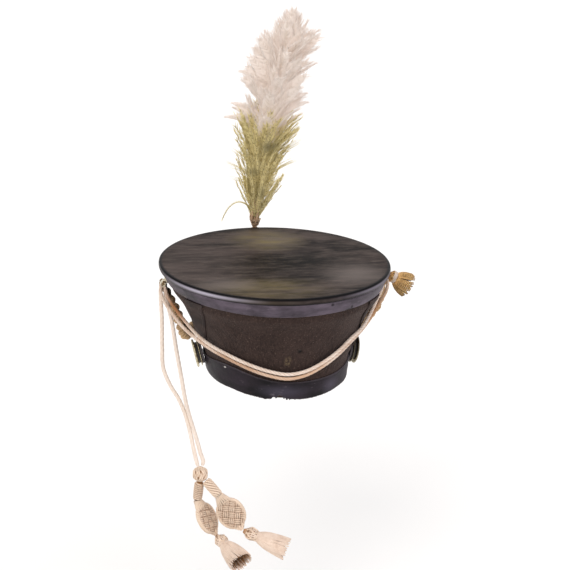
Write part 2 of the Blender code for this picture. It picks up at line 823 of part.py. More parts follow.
def slide_knot():
    centre = Vector(KNOT_CENTRE)
    along, side, up = frame_at((0.0, 0.25, 0.97), (1, 0, 0))
    rings = []
    for n in range(1, 9):
        slope = math.pi * n / 9
        ring = []
        for k in range(14):
            turn = 2 * math.pi * k / 14
            weave = 0.97 + 0.03 * math.cos(4 * turn + math.pi * n)
            reach = KNOT_RADIUS * weave
            ring.append(centre - along * (reach * math.cos(slope))
                        + side * (reach * math.sin(slope) * math.cos(turn))
                        + up * (reach * math.sin(slope) * math.sin(turn)))
        rings.append(ring)
    return loft_solid("slide_knot", rings, KNOT_CORD, start=centre - along * KNOT_RADIUS,
                      end=centre + along * KNOT_RADIUS)


def hanging_side(word, hang, length):
    """Collar, woven flounder and tassel, one after the other below the slide knot."""
    down, lie, fall, face = (Vector(v) for v in hang)
    down.normalize()
    lie.normalize()
    fall.normalize()
    at = Vector(KNOT_CENTRE) + down * (KNOT_RADIUS + TRIM_GAP)

    along, side, up = frame_at(down, (0, 1, 0.1))
    profile = [(0.0, NECK_RADIUS * 0.8), (NECK_LENGTH, NECK_RADIUS)]
    turns = 4
    for k in range(turns * 2 + 1):
        share = k / (turns * 2)
        bulge = COLLAR_RADIUS * (0.90 + 0.10 * math.sin(math.pi * share))
        profile.append((NECK_LENGTH + COLLAR_LENGTH * share, bulge * (1.0 if k % 2 else 0.93)))
    profile.append((NECK_LENGTH + COLLAR_LENGTH + NECK_LENGTH * 0.4, NECK_RADIUS))
    profile.append((2 * NECK_LENGTH + COLLAR_LENGTH, NECK_RADIUS * 0.7))
    tip = at + along * (2 * NECK_LENGTH + COLLAR_LENGTH + NECK_RADIUS * 0.4)
    loft_solid("collar_" + word, turned_rings(at, along, side, up, profile, 10), KNOT_CORD, end=tip)

    start = tip + (down + lie).normalized() * TRIM_GAP
    along, side, up = frame_at(lie, face)
    shape = ((0.02, 0.10, 0.30), (0.05, 0.16, 0.46), (0.12, 0.24, 0.60), (0.20, 0.62, 0.84),
             (0.32, 0.90, 0.98), (0.46, 1.00, 1.00), (0.58, 0.99, 0.96), (0.70, 0.88, 0.98),
             (0.80, 0.66, 0.88), (0.88, 0.36, 0.66), (0.95, 0.20, 0.50), (0.985, 0.12, 0.34))
    rings = []
    for n, (share, wide, deep) in enumerate(shape):
        ring = []
        for k in range(14):
            turn = 2 * math.pi * k / 14
            weave = 1.0 - 0.07 * ((k + n) % 2) * (wide > 0.5)
            ring.append(start + along * (share * FLOUNDER_LENGTH)
                        + side * (wide * FLOUNDER_WIDTH / 2 * math.cos(turn))
                        + up * (deep * FLOUNDER_THICK / 2 * weave * math.sin(turn)))
        rings.append(ring)
    foot = start + along * FLOUNDER_LENGTH
    loft_solid("flounder_" + word, rings, KNOT_CORD, start=start, end=foot)

    start = foot + (lie + fall).normalized() * TRIM_GAP
    tassel("tassel_" + word, start, fall, length, TASSEL_HEAD, TASSEL_SKIRT, TASSEL_CORD, 0.84, 0.0)


def tassel(name, start, direction, length, head, skirt, mat, flat, neck):
    """Knotted head with a fringe of twisted strands below it."""
    along, side, up = frame_at(direction, (0, 0, 1))
    shape = ((0.015, 0.26, 0), (0.05, 0.34, 0), (0.09, 0.66, 0), (0.15, 0.96, 0), (0.21, 1.00, 0),
             (0.27, 0.88, 0), (0.31, 0.80, 0), (0.38, 0.24, 1), (0.52, 0.58, 1), (0.68, 0.78, 1),
             (0.84, 0.92, 1), (0.98, 1.00, 1), (0.93, 0.55, 1))
    rings = []
    count = 14
    for n, (share, wide, loose) in enumerate(shape):
        base = head if not loose else head * 0.80
        span = head if not loose else max(skirt - base, 0.0)
        radius = wide * span if not loose else base + wide * span
        if n == len(shape) - 1:
            radius = skirt * wide
        if share > 0.02:
            share = neck + (1.0 - neck) * share
        ring = []
        for k in range(count):
            turn = 2 * math.pi * k / count
            strand = 1.0 - (0.10 if (k % 2 and loose and n < len(shape) - 1) else 0.0)
            low = flat if loose else 1.0
            ring.append(start + along * (share * length) + side * (radius * strand * math.cos(turn))
                        + up * (radius * low * strand * math.sin(turn)))
        rings.append(ring)
    return loft_solid(name, rings, mat, start=start, end=start + along * (0.90 * length))


crown_body()
crown_top()
top_band()
base_band()
side_strap("strap_left", -1)
side_strap("strap_right", 1)
side_boss("boss_left", -1)
side_boss("boss_right", 1)
peak()
plume_socket()
plume_stem()
feather_head("plume_green", plume_foot() + TRIM_GAP, plume_change() - TRIM_GAP / 2, GREEN_FEATHER, 8, 0.4, True)
feather_head("plume_white", plume_change() + TRIM_GAP / 2, plume_tip(), WHITE_FEATHER, 8, 1.7, False)
hook("hook_left", -1)
hook("hook_right", 1)
cord("cord_back_upper", BACK_UPPER_ROUTE, CORD_DIAMETER, CREAM_CORD)
cord("cord_back_lower", BACK_LOWER_ROUTE, CORD_DIAMETER, CREAM_CORD)
plait()
cord("line_left", LEFT_LINE_ROUTE, LINE_DIAMETER, LINE_CORD)
cord("line_right", RIGHT_LINE_ROUTE, LINE_DIAMETER, LINE_CORD)
slide_knot()
hanging_side("left", LEFT_HANG, LEFT_TASSEL)
hanging_side("right", RIGHT_HANG, RIGHT_TASSEL)
hook_side = wall_point(0.0, CROWN_HEIGHT - HOOK_BELOW, LEATHER_PROUD + SEAT)
hook_tip = hook_side + Vector((0.78 * HOOK_REACH, 0, 2.35 * HOOK_WIRE))
tassel("tuft_right", hook_tip, TUFT_DIRECTION, TUFT_LENGTH, TUFT_HEAD, TUFT_SKIRT, TUFT_GOLD, 0.8, TUFT_NECK)
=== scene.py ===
"""Looks of a bell-topped felt shako with a leather crown, feather plume and cap lines.

The frame's solids give every size and place. Metres, +Z up, +Y the front of the cap, +X the
wearer's right. Each operator makes one group of pieces and main() runs them in order.
"""
import math
import random

import bmesh
import bpy
import numpy as np
from mathutils import Matrix, Vector


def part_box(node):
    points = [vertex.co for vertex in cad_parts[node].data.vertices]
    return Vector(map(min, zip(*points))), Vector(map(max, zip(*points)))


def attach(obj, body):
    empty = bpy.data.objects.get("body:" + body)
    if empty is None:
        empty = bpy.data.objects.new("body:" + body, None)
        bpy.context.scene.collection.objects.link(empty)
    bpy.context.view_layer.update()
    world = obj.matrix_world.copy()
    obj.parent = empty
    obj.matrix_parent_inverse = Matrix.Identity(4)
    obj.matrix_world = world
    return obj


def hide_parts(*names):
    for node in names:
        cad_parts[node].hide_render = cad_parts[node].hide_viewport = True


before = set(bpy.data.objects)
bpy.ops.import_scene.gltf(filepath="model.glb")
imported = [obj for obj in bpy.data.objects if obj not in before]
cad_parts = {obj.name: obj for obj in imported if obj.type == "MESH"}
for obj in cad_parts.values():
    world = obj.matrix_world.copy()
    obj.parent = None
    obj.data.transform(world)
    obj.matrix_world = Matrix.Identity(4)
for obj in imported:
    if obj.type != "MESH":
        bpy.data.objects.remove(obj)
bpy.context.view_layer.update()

bl_info = {
    "name": "Shako with plume",
    "version": (1, 0, 0),
    "blender": (4, 5, 0),
    "location": "3D View > Sidebar > Shako",
    "description": "Builds a felt shako with leather, brass, feathers and cords",
    "category": "Object",
}

MM = 0.001
TAU = 2 * math.pi
BODY = "root"

# Crown outline: share of the height, share of the flare from base to top
OUTLINE = (
    (0.000, 0.000), (0.045, 0.010), (0.160, 0.054), (0.350, 0.188), (0.540, 0.395),
    (0.690, 0.590), (0.770, 0.734), (0.860, 0.849), (0.950, 0.954), (1.000, 1.000),
)
# Dents: degrees round, share of the height, depth as a share of the felt, half-widths
DENTS = (
    (248.0, 0.50, 0.50, 16.0, 0.20), (292.0, 0.36, 0.44, 13.0, 0.17), (205.0, 0.62, 0.40, 14.0, 0.22),
    (325.0, 0.60, 0.36, 15.0, 0.22), (70.0, 0.45, 0.50, 20.0, 0.22), (128.0, 0.58, 0.36, 14.0, 0.20),
)
# Worn lower edge: degrees round, drop as a share of the base band, half-width in degrees
WORN_EDGE = (
    (262.0, -0.13, 4.0), (253.0, 0.05, 8.0), (285.0, 0.04, 12.0), (318.0, -0.05, 9.0),
    (222.0, -0.06, 10.0), (60.0, 0.05, 14.0), (140.0, -0.04, 12.0),
)
BAND_RISES = ((221.0, 1.00, 27.0), (330.0, 0.12, 14.0))
BAND_DIPS = ((262.0, 1.00, 24.0),)
# Plume: share of the length, sideways, forward, half-width as a share of the widest
PLUME_AXIS = (
    (0.000, 0.000, 0.000, 0.06), (0.030, 0.002, 0.000, 0.13), (0.086, 0.007, 0.001, 0.36),
    (0.145, 0.011, 0.002, 0.58), (0.200, 0.015, 0.003, 0.74), (0.320, 0.026, 0.004, 0.86),
    (0.396, 0.038, 0.006, 0.95), (0.474, 0.048, 0.007, 0.99), (0.548, 0.063, 0.008, 1.00),
    (0.624, 0.084, 0.008, 0.97), (0.698, 0.100, 0.007, 1.00), (0.772, 0.124, 0.005, 1.00),
    (0.844, 0.149, 0.002, 0.95), (0.919, 0.163, -0.001, 0.82), (0.965, 0.161, -0.004, 0.52),
    (1.000, 0.156, -0.008, 0.10),
)
# Routes of the cords, in metres
BACK_UPPER_ROUTE = (
    (-0.1356, -0.0039, 0.1088), (-0.1330, -0.0082, 0.0985), (-0.1245, -0.0180, 0.0862),
    (-0.1125, -0.0320, 0.0725), (-0.1000, -0.0470, 0.0612), (-0.0855, -0.0655, 0.0548),
    (-0.0710, -0.0811, 0.0508), (-0.0574, -0.0918, 0.0466), (-0.0434, -0.1001, 0.0425),
    (-0.0240, -0.1070, 0.0375), (-0.0039, -0.1095, 0.0342), (0.0162, -0.1083, 0.0366),
    (0.0369, -0.1028, 0.0440), (0.0585, -0.0928, 0.0548), (0.0745, -0.0790, 0.0632),
    (0.0906, -0.0618, 0.0684), (0.1060, -0.0376, 0.0768), (0.1195, -0.0175, 0.0905),
    (0.1266, -0.0082, 0.0985), (0.1289, -0.0039, 0.1066),
)
BACK_LOWER_ROUTE = (
    (-0.1408, -0.0039, 0.1115), (-0.1407, -0.0056, 0.1045), (-0.1380, -0.0095, 0.0955),
    (-0.1283, -0.0188, 0.0808), (-0.1150, -0.0336, 0.0660), (-0.0995, -0.0490, 0.0560),
    (-0.0845, -0.0648, 0.0494), (-0.0702, -0.0802, 0.0455), (-0.0568, -0.0908, 0.0412),
    (-0.0430, -0.0991, 0.0368), (-0.0238, -0.1060, 0.0318), (-0.0039, -0.1086, 0.0285),
    (0.0160, -0.1074, 0.0312), (0.0366, -0.1019, 0.0388), (0.0577, -0.0918, 0.0496),
    (0.0740, -0.0778, 0.0580), (0.0890, -0.0600, 0.0632), (0.1064, -0.0375, 0.0718),
    (0.1225, -0.0188, 0.0860), (0.1318, -0.0092, 0.0962), (0.1341, -0.0056, 0.1030),
    (0.1342, -0.0039, 0.1090),
)
LEFT_LINE_ROUTE = (
    (-0.1402, 0.0006, 0.1062), (-0.1402, -0.0006, 0.0930), (-0.1394, -0.0040, 0.0708),
    (-0.1396, -0.0090, 0.0370), (-0.1386, -0.0150, 0.0086), (-0.1316, -0.0225, -0.0090),
    (-0.1220, -0.0325, -0.0240), (-0.1152, -0.0425, -0.0402), (-0.1110, -0.0525, -0.0566),
    (-0.1074, -0.0640, -0.0762), (-0.1044, -0.0718, -0.0895), (-0.1034, -0.0730, -0.0933),
)
RIGHT_LINE_ROUTE = (
    (-0.1350, 0.0006, 0.1062), (-0.1334, -0.0026, 0.0930), (-0.1286, -0.0120, 0.0702),
    (-0.1240, -0.0230, 0.0362), (-0.1190, -0.0325, 0.0046), (-0.1142, -0.0420, -0.0260),
    (-0.1092, -0.0505, -0.0455), (-0.1042, -0.0585, -0.0622), (-0.0998, -0.0665, -0.0790),
    (-0.0971, -0.0724, -0.0894), (-0.0981, -0.0733, -0.0927),
)
PLAIT_ROUTE = (
    (-0.1372, 0.0040, 0.1115), (-0.1350, 0.0098, 0.1050), (-0.1312, 0.0132, 0.0965),
    (-0.1200, 0.0165, 0.0700), (-0.1125, 0.0240, 0.0490), (-0.1065, 0.0380, 0.0345),
    (-0.0960, 0.0620, 0.0290), (-0.0760, 0.0880, 0.0265), (-0.0440, 0.1090, 0.0255),
    (0.0000, 0.1180, 0.0250), (0.0430, 0.1090, 0.0265), (0.0750, 0.0880, 0.0290),
    (0.0965, 0.0620, 0.0335), (0.1085, 0.0400, 0.0420), (0.1170, 0.0250, 0.0580),
    (0.1236, 0.0160, 0.0790), (0.1280, 0.0125, 0.0950), (0.1300, 0.0090, 0.1030),
    (0.1308, 0.0042, 0.1090),
)
# Hanging sides: directions of the collar, the flounder, the tassel, and the flounder's face
LEFT_HANG = ((-0.10, 0.00, -0.99), (0.44, -0.25, -0.86), (0.47, -0.84, -0.26), (0.80, -0.60, 0.20))
RIGHT_HANG = ((0.61, -0.45, -0.65), (0.53, -0.35, -0.77), (0.89, -0.28, -0.35), (-0.15, -1.00, 0.10))
TUFT_DIRECTION = (0.85, 0.00, -0.53)
KNOT_CENTRE = (-0.1009, -0.0760, -0.1024)


# Settings

def size(name, text, default_mm):
    return bpy.props.FloatProperty(name=name, description=text, default=default_mm * MM, unit="LENGTH",
                                   subtype="DISTANCE", precision=4)


def linear(code):
    """Linear colour of an sRGB hex value."""
    parts = [int(code[k:k + 2], 16) / 255 for k in (1, 3, 5)]
    return tuple(c / 12.92 if c <= 0.04045 else ((c + 0.055) / 1.055) ** 2.4 for c in parts)


def colour(name, text, code):
    return bpy.props.FloatVectorProperty(name=name, description=text, default=linear(code), size=3,
                                         subtype="COLOR", min=0.0, max=1.0)


class CrownSettings(bpy.types.PropertyGroup):
    """Sizes and colours of the felt crown and its leather."""
    height: size("Crown height", "Rim to the top of the leather disc", 136.0)
    base_half: size("Base half width", "Half the width of the head opening's outline", 85.7)
    top_half: size("Top half width", "Half the width of the top", 137.9)
    felt_wall: size("Felt wall", "Thickness of the felt", 2.5)
    leather: size("Leather", "Thickness of the bands", 1.8)
    seat: size("Seat", "Gap between felt and leather", 0.4)
    rim_roll: size("Rim roll", "Height of the rolled edge of the top", 7.5)
    top_band: size("Top band", "Height of the band below the roll", 14.5)
    base_band: size("Base band", "Height of the band round the rim", 21.0)
    strap: size("Strap", "Thickness of the side straps", 1.5)
    felt_light: colour("Felt, brushed", "Light colour of the worn felt", "#382B27")
    felt_dark: colour("Felt, deep", "Dark colour of the felt", "#241A18")
    # The rubbed colour also paints the lighter left of the disc as painted sheen
    top_light: colour("Top, rubbed and painted sheen", "Rubbed grey-brown of the leather top and its painted sheen", "#524743")
    top_dark: colour("Top, waxed", "Dark waxed leather", "#1E1817")
    # The olive colour is the painted sheen on the top
    top_olive_sheen: colour("Top, painted olive sheen", "Painted olive sheen on the wax", "#776A45")
    band_light: colour("Band, rubbed", "Rubbed leather of the bands", "#2B242B")
    band_dark: colour("Band, waxed", "Dark leather of the bands", "#0B090B")


class PlumeSettings(bpy.types.PropertyGroup):
    """Sizes and colours of the plume."""
    socket: size("Holder radius", "Outer radius of the brass holder", 5.2)
    stem: size("Stem radius", "Radius of the quill stem", 2.4)
    half: size("Half width", "Half of the widest part of the plume", 40.0)
    green: size("Green length", "Length of the green feathers", 118.0)
    white: size("White length", "Length of the white feathers", 129.0)
    green_tip: colour("Green tips", "Light tips of the green feathers", "#F6E7AC")
    green_root: colour("Green roots", "Dark roots of the green feathers", "#8C7830")
    white_tip: colour("White tips", "Tips of the white feathers", "#E9DED6")
    white_root: colour("White roots", "Shaded roots of the white feathers", "#D4C6B8")
    quill: colour("Quill", "Reddish quill stem", "#D9B48E")


class CordSettings(bpy.types.PropertyGroup):
    """Sizes and colours of the cords, knots and tassels."""
    back: size("Back cord", "Diameter of the swagged cords", 4.2)
    line: size("Hanging line", "Diameter of the hanging lines", 4.8)
    plait_width: size("Plait width", "Width of the front plait", 19.0)
    plait_thick: size("Plait thickness", "Thickness of the front plait", 10.0)
    knot: size("Slide knot radius", "Radius of the slide knot", 9.5)
    collar_length: size("Collar length", "Length of the wound collars", 18.5)
    collar_radius: size("Collar radius", "Radius of the wound collars", 6.0)
    neck: size("Neck length", "Bare length at each end of a collar", 2.4)
    flounder_length: size("Flounder length", "Length of the woven pads", 49.0)
    flounder_width: size("Flounder width", "Width of the woven pads", 33.0)
    flounder_thick: size("Flounder thickness", "Thickness of the woven pads", 9.5)
    left_tassel: size("Left tassel", "Length of the left tassel", 52.0)
    right_tassel: size("Right tassel", "Length of the right tassel", 57.0)
    tassel_head: size("Tassel head", "Radius of a tassel's head", 7.5)
    tassel_skirt: size("Tassel skirt", "Radius of a tassel's threads at their ends", 15.5)
    tuft: size("Tuft", "Length of the golden tuft", 34.5)
    cream: colour("Cream", "Light cream of the cords", "#F7E9DC")
    # cream_shade gives random grime and also the painted shade in the creases, grooves and sunk parts of the cream
    # cords
    cream_shade: colour("Cream shade", "Grime and painted shade between the strands", "#B98453")
    line_shade: colour("Line shade", "Shade of the hanging lines", "#C9AC92")
    knot_light: colour("Knot", "Light colour of knots and flounders", "#FFE9D2")
    # The darker core colour is painted shade under the weave of the knot, the collars and the flounders
    knot_inside_shade: colour("Knot, inside", "Painted shade of the cords under the weave", "#A67C55")
    knot_shade: colour("Knot shade", "Brown between the knots' strands", "#B0855A")
    tassel_light: colour("Tassel", "Light colour of the tassels", "#EFDBCA")
    tassel_shade: colour("Tassel shade", "Brown inside the tassels", "#A8794C")
    gold: colour("Gold", "Light colour of the plait and the tuft", "#E2C093")
    gold_shade: colour("Gold shade", "Dark colour of the plait", "#6A4725")


class StageSettings(bpy.types.PropertyGroup):
    """Camera, floor and lights."""
    azimuth: bpy.props.FloatProperty(name="Azimuth", description="Camera round the cap", default=-9.7)
    elevation: bpy.props.FloatProperty(name="Elevation", description="Camera above level", default=18.9)
    roll: bpy.props.FloatProperty(name="Roll", description="Camera's turn about its view", default=1.25)
    distance: size("Distance", "Camera to its aim", 1700.0)
    lens: bpy.props.FloatProperty(name="Lens", description="Focal length in mm on a 36 mm sensor",
                                  default=89.5, subtype="NONE")
    floor: size("Floor", "Level of the floor below the rim, as a depth", 330.0)
    pale: colour("Floor colour", "Pale floor", "#FBFAF8")


def crown_settings():
    return bpy.context.scene.shako_crown


def plume_settings():
    return bpy.context.scene.shako_plume


def cord_settings():
    return bpy.context.scene.shako_cords


# Crown's rule

def smooth_at(xs, ys, x):
    """Value at x of the smooth curve through the table's points."""
    x = min(max(x, xs[0]), xs[-1])
    k = min(int(np.searchsorted(xs, x, side="right")) - 1, len(xs) - 2)
    slopes = np.gradient(np.array(ys, float), np.array(xs, float))
    step = xs[k + 1] - xs[k]
    t = (x - xs[k]) / step
    return float((2 * t ** 3 - 3 * t ** 2 + 1) * ys[k] + (t ** 3 - 2 * t ** 2 + t) * step * slopes[k]
                 + (3 * t ** 2 - 2 * t ** 3) * ys[k + 1] + (t ** 3 - t ** 2) * step * slopes[k + 1])


def column(table, k):
    return [row[k] for row in table]


BASE_OVAL, TOP_OVAL = 1.20, 1.02
TOP_LEAN, BASE_LEAN, TOP_SHIFT = -0.008, -0.022, -0.0040
PROUD = 0.0002
FELT_STEP = 0.0014


def turn_between(a, b):
    return abs((a - b + 180.0) % 360.0 - 180.0)


def edge_move(table, degrees):
    return sum(deep * math.exp(-(turn_between(degrees, where) / wide) ** 2) for where, deep, wide in table)


def half_width(height):
    crown = crown_settings()
    flare = smooth_at(column(OUTLINE, 0), column(OUTLINE, 1), height / crown.height)
    return crown.base_half + (crown.top_half - crown.base_half) * flare


def oval(height):
    share = min(max(height / crown_settings().height, 0.0), 1.0)
    return BASE_OVAL + (TOP_OVAL - BASE_OVAL) * share


def dent(degrees, height):
    crown = crown_settings()
    depth = 0.0
    for where, share, deep, wide, tall in DENTS:
        away = (turn_between(degrees, where) / wide) ** 2 + ((height / crown.height - share) / tall) ** 2
        depth += deep * crown.felt_wall * math.exp(-away)
    return depth


def wall_point(degrees, height, proud):
    """Point on the crown's wall, proud of its outline by the given distance."""
    turn = math.radians(degrees)
    across = half_width(height)
    out = proud - dent(degrees, height)
    share = height / crown_settings().height
    x = (across + out) * math.cos(turn)
    y = (across * oval(height) + out) * math.sin(turn)
    return Vector((x + TOP_SHIFT * share, y, height + (BASE_LEAN + (TOP_LEAN - BASE_LEAN) * share) * x))


def wall_degrees(y, height, side):
    turn = math.degrees(math.asin(y / (half_width(height) * oval(height))))
    return turn if side > 0 else 180.0 - turn


def wall_normal(degrees, height):
    here = wall_point(degrees, height, 0.0)
    normal = (wall_point(degrees + 1.0, height, 0.0) - here).cross(
        wall_point(degrees, height + 0.001, 0.0) - here).normalized()
    return normal


# Helpers

def node(tree, kind, inputs=None, **settings):
    """Adds a node with its settings; an input given as a socket is linked, any other is set."""
    made = tree.nodes.new(kind)
    for word, value in settings.items():
        setattr(made, word, value)
    for key, value in (inputs or {}).items():
        socket = made.inputs[key]
        if isinstance(value, bpy.types.NodeSocket):
            tree.links.new(value, socket)
        elif socket.type == "RGBA" and len(value) == 3:
            socket.default_value = (*value, 1.0)
        else:
            socket.default_value = value
    return made


def mesh_piece(name, points, faces, mat, smooth=True):
    mesh = bpy.data.meshes.new(name)
    mesh.from_pydata([tuple(p) for p in points], [], faces)
    work = bmesh.new()
    work.from_mesh(mesh)
    bmesh.ops.recalc_face_normals(work, faces=work.faces[:])
    work.to_mesh(mesh)
    work.free()
    for polygon in mesh.polygons:
        polygon.use_smooth = smooth
    mesh.materials.append(mat)
    piece = bpy.data.objects.new(name, mesh)
    bpy.context.scene.collection.objects.link(piece)
    return piece


def loft(name, rings, mat, start=None, end=None, smooth=True):
    """Closed skin over rings of points, ended by a point or by a flat face."""
    count = len(rings[0])
    points = [p for ring in rings for p in ring]
    faces = []
    for i in range(len(rings) - 1):
        for k in range(count):
            after = (k + 1) % count
            faces.append((i * count + k, i * count + after, (i + 1) * count + after, (i + 1) * count + k))
    last = (len(rings) - 1) * count
    if start is None:
        faces.append(tuple(range(count)))
    else:
        points.append(start)
        faces.extend((len(points) - 1, (k + 1) % count, k) for k in range(count))
    if end is None:
        faces.append(tuple(last + k for k in reversed(range(count))))
    else:
        points.append(end)
        faces.extend((len(points) - 1, last + k, last + (k + 1) % count) for k in range(count))
    return mesh_piece(name, points, faces, mat, smooth)


def ring_band(name, section, mat, shift=None, count=288):
    """Closed section of (height, proud) points carried all the way round the crown."""
    points, faces = [], []
    size_ = len(section)
    for i in range(count):
        degrees = 360.0 * i / count
        for k, (height, proud) in enumerate(section):
            move = shift(degrees, height, k) if shift else (0.0, 0.0)
            points.append(wall_point(degrees, height + move[0], proud + move[1]))
    for i in range(count):
        after = (i + 1) % count
        for k in range(size_):
            follow = (k + 1) % size_
            faces.append((i * size_ + k, after * size_ + k, after * size_ + follow, i * size_ + follow))
    return mesh_piece(name, points, faces, mat)


def frame_at(direction, hint):
    """The direction and two more square to it, the last nearest to the hint."""
    along = Vector(direction).normalized()
    side = along.cross(Vector(hint)).normalized()
    return along, side, side.cross(along).normalized()


def smooth_route(route, count):
    """Evenly spaced points on the smooth curve through a route."""
    route = [Vector(p) for p in route]
    far = [0.0]
    for a, b in zip(route, route[1:]):
        far.append(far[-1] + (b - a).length)
    tables = [[p[axis] for p in route] for axis in range(3)]
    fine = [Vector([smooth_at(far, tables[axis], far[-1] * i / 400) for axis in range(3)]) for i in range(401)]
    run = [0.0]
    for a, b in zip(fine, fine[1:]):
        run.append(run[-1] + (b - a).length)
    rows = [[p[axis] for p in fine] for axis in range(3)]
    points = [Vector([float(np.interp(run[-1] * i / count, run, rows[axis])) for axis in range(3)])
              for i in range(count + 1)]
    return points, run[-1]


def moving_frames(points, hint):
    """A side and an upward direction at each point, carried along without sudden turns."""
    sides, ups = [], []
    up = Vector(hint)
    for n, spot in enumerate(points):
        along = (points[min(n + 1, len(points) - 1)] - points[max(n - 1, 0)]).normalized()
        up = (up - along * up.dot(along)).normalized()
        ups.append(up.copy())
        sides.append(along.cross(up).normalized())
    return sides, ups


def give(piece, solid):
    """Sets a finished piece on the cap's body in place of its solid."""
    piece.name = "dressed_" + solid
    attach(piece, BODY)
    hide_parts(solid)
    return piece


# Geometry nodes

def tree_inputs(tree, rows):
    """Named inputs of a geometry tree, as {name: identifier}."""
    names = {}
    for name, kind, default in rows:
        socket = tree.interface.new_socket(name, in_out="INPUT", socket_type=kind)
        if default is not None:
            socket.default_value = default
        names[name] = socket.identifier
    tree.interface.new_socket("Geometry", in_out="OUTPUT", socket_type="NodeSocketGeometry")
    return names


def strand_tree():
    """Tree that turns routes into round strands of lobed section that twist as they run."""
    tree = bpy.data.node_groups.new("Twisted strands", "GeometryNodeTree")
    names = tree_inputs(tree, (
        ("Geometry", "NodeSocketGeometry", None), ("Lobes", "NodeSocketFloat", 3.0),
        ("Lobe Depth", "NodeSocketFloat", 0.2), ("Twist Pitch", "NodeSocketFloat", 0.01),
        ("Ring Points", "NodeSocketInt", 12), ("Material", "NodeSocketMaterial", None)))
    given = node(tree, "NodeGroupInput")
    run = node(tree, "GeometryNodeSplineParameter")
    turns = node(tree, "ShaderNodeMath", {0: run.outputs["Length"], 1: given.outputs["Twist Pitch"]},
                 operation="DIVIDE")
    tilt = node(tree, "ShaderNodeMath", {0: turns.outputs[0], 1: TAU}, operation="MULTIPLY")
    tilted = node(tree, "GeometryNodeSetCurveTilt", {"Curve": given.outputs["Geometry"], "Tilt": tilt.outputs[0]})
    run_on = node(tree, "GeometryNodeStoreNamedAttribute",
                  {"Geometry": tilted.outputs[0], "Name": "run", "Value": run.outputs["Length"]},
                  data_type="FLOAT", domain="POINT")
    share_on = node(tree, "GeometryNodeStoreNamedAttribute",
                    {"Geometry": run_on.outputs[0], "Name": "share", "Value": run.outputs["Factor"]},
                    data_type="FLOAT", domain="POINT")

    circle = node(tree, "GeometryNodeCurvePrimitiveCircle", {"Resolution": given.outputs["Ring Points"],
                                                            "Radius": 1.0})
    round_it = node(tree, "GeometryNodeSplineParameter")
    angle = node(tree, "ShaderNodeMath", {0: round_it.outputs["Factor"], 1: TAU}, operation="MULTIPLY")
    half_lobes = node(tree, "ShaderNodeMath", {0: given.outputs["Lobes"], 1: 0.5}, operation="MULTIPLY")
    wave = node(tree, "ShaderNodeMath", {0: angle.outputs[0], 1: half_lobes.outputs[0]}, operation="MULTIPLY")
    cosine = node(tree, "ShaderNodeMath", {0: wave.outputs[0]}, operation="COSINE")
    crest = node(tree, "ShaderNodeMath", {0: cosine.outputs[0]}, operation="ABSOLUTE")
    low = node(tree, "ShaderNodeMath", {0: 1.0, 1: crest.outputs[0]}, operation="SUBTRACT")
    cut = node(tree, "ShaderNodeMath", {0: low.outputs[0], 1: given.outputs["Lobe Depth"]}, operation="MULTIPLY")
    reach = node(tree, "ShaderNodeMath", {0: 1.0, 1: cut.outputs[0]}, operation="SUBTRACT")
    place = node(tree, "GeometryNodeInputPosition")
    pulled = node(tree, "ShaderNodeVectorMath", {0: place.outputs[0], "Scale": reach.outputs[0]},
                  operation="SCALE")
    ring_x = node(tree, "ShaderNodeMath", {0: angle.outputs[0]}, operation="COSINE")
    ring_y = node(tree, "ShaderNodeMath", {0: angle.outputs[0]}, operation="SINE")
    ring = node(tree, "ShaderNodeCombineXYZ", {0: ring_x.outputs[0], 1: ring_y.outputs[0], 2: crest.outputs[0]})
    ring_on = node(tree, "GeometryNodeStoreNamedAttribute",
                   {"Geometry": circle.outputs[0], "Name": "ring", "Value": ring.outputs[0]},
                   data_type="FLOAT_VECTOR", domain="POINT")
    lobed = node(tree, "GeometryNodeSetPosition", {"Geometry": ring_on.outputs[0],
                                                   "Position": pulled.outputs[0]})
    radius = node(tree, "GeometryNodeInputRadius")
    tube = node(tree, "GeometryNodeCurveToMesh", {"Curve": share_on.outputs[0],
                                                  "Profile Curve": lobed.outputs[0], "Fill Caps": True})
    if "Scale" in tube.inputs:
        tree.links.new(radius.outputs[0], tube.inputs["Scale"])
    soft = node(tree, "GeometryNodeSetShadeSmooth", {"Geometry": tube.outputs[0]})
    real = node(tree, "GeometryNodeRealizeInstances", {"Geometry": soft.outputs[0]})
    dressed = node(tree, "GeometryNodeSetMaterial", {"Geometry": real.outputs[0],
                                                     "Material": given.outputs["Material"]})
    node(tree, "NodeGroupOutput", {"Geometry": dressed.outputs[0]})
    return tree, names


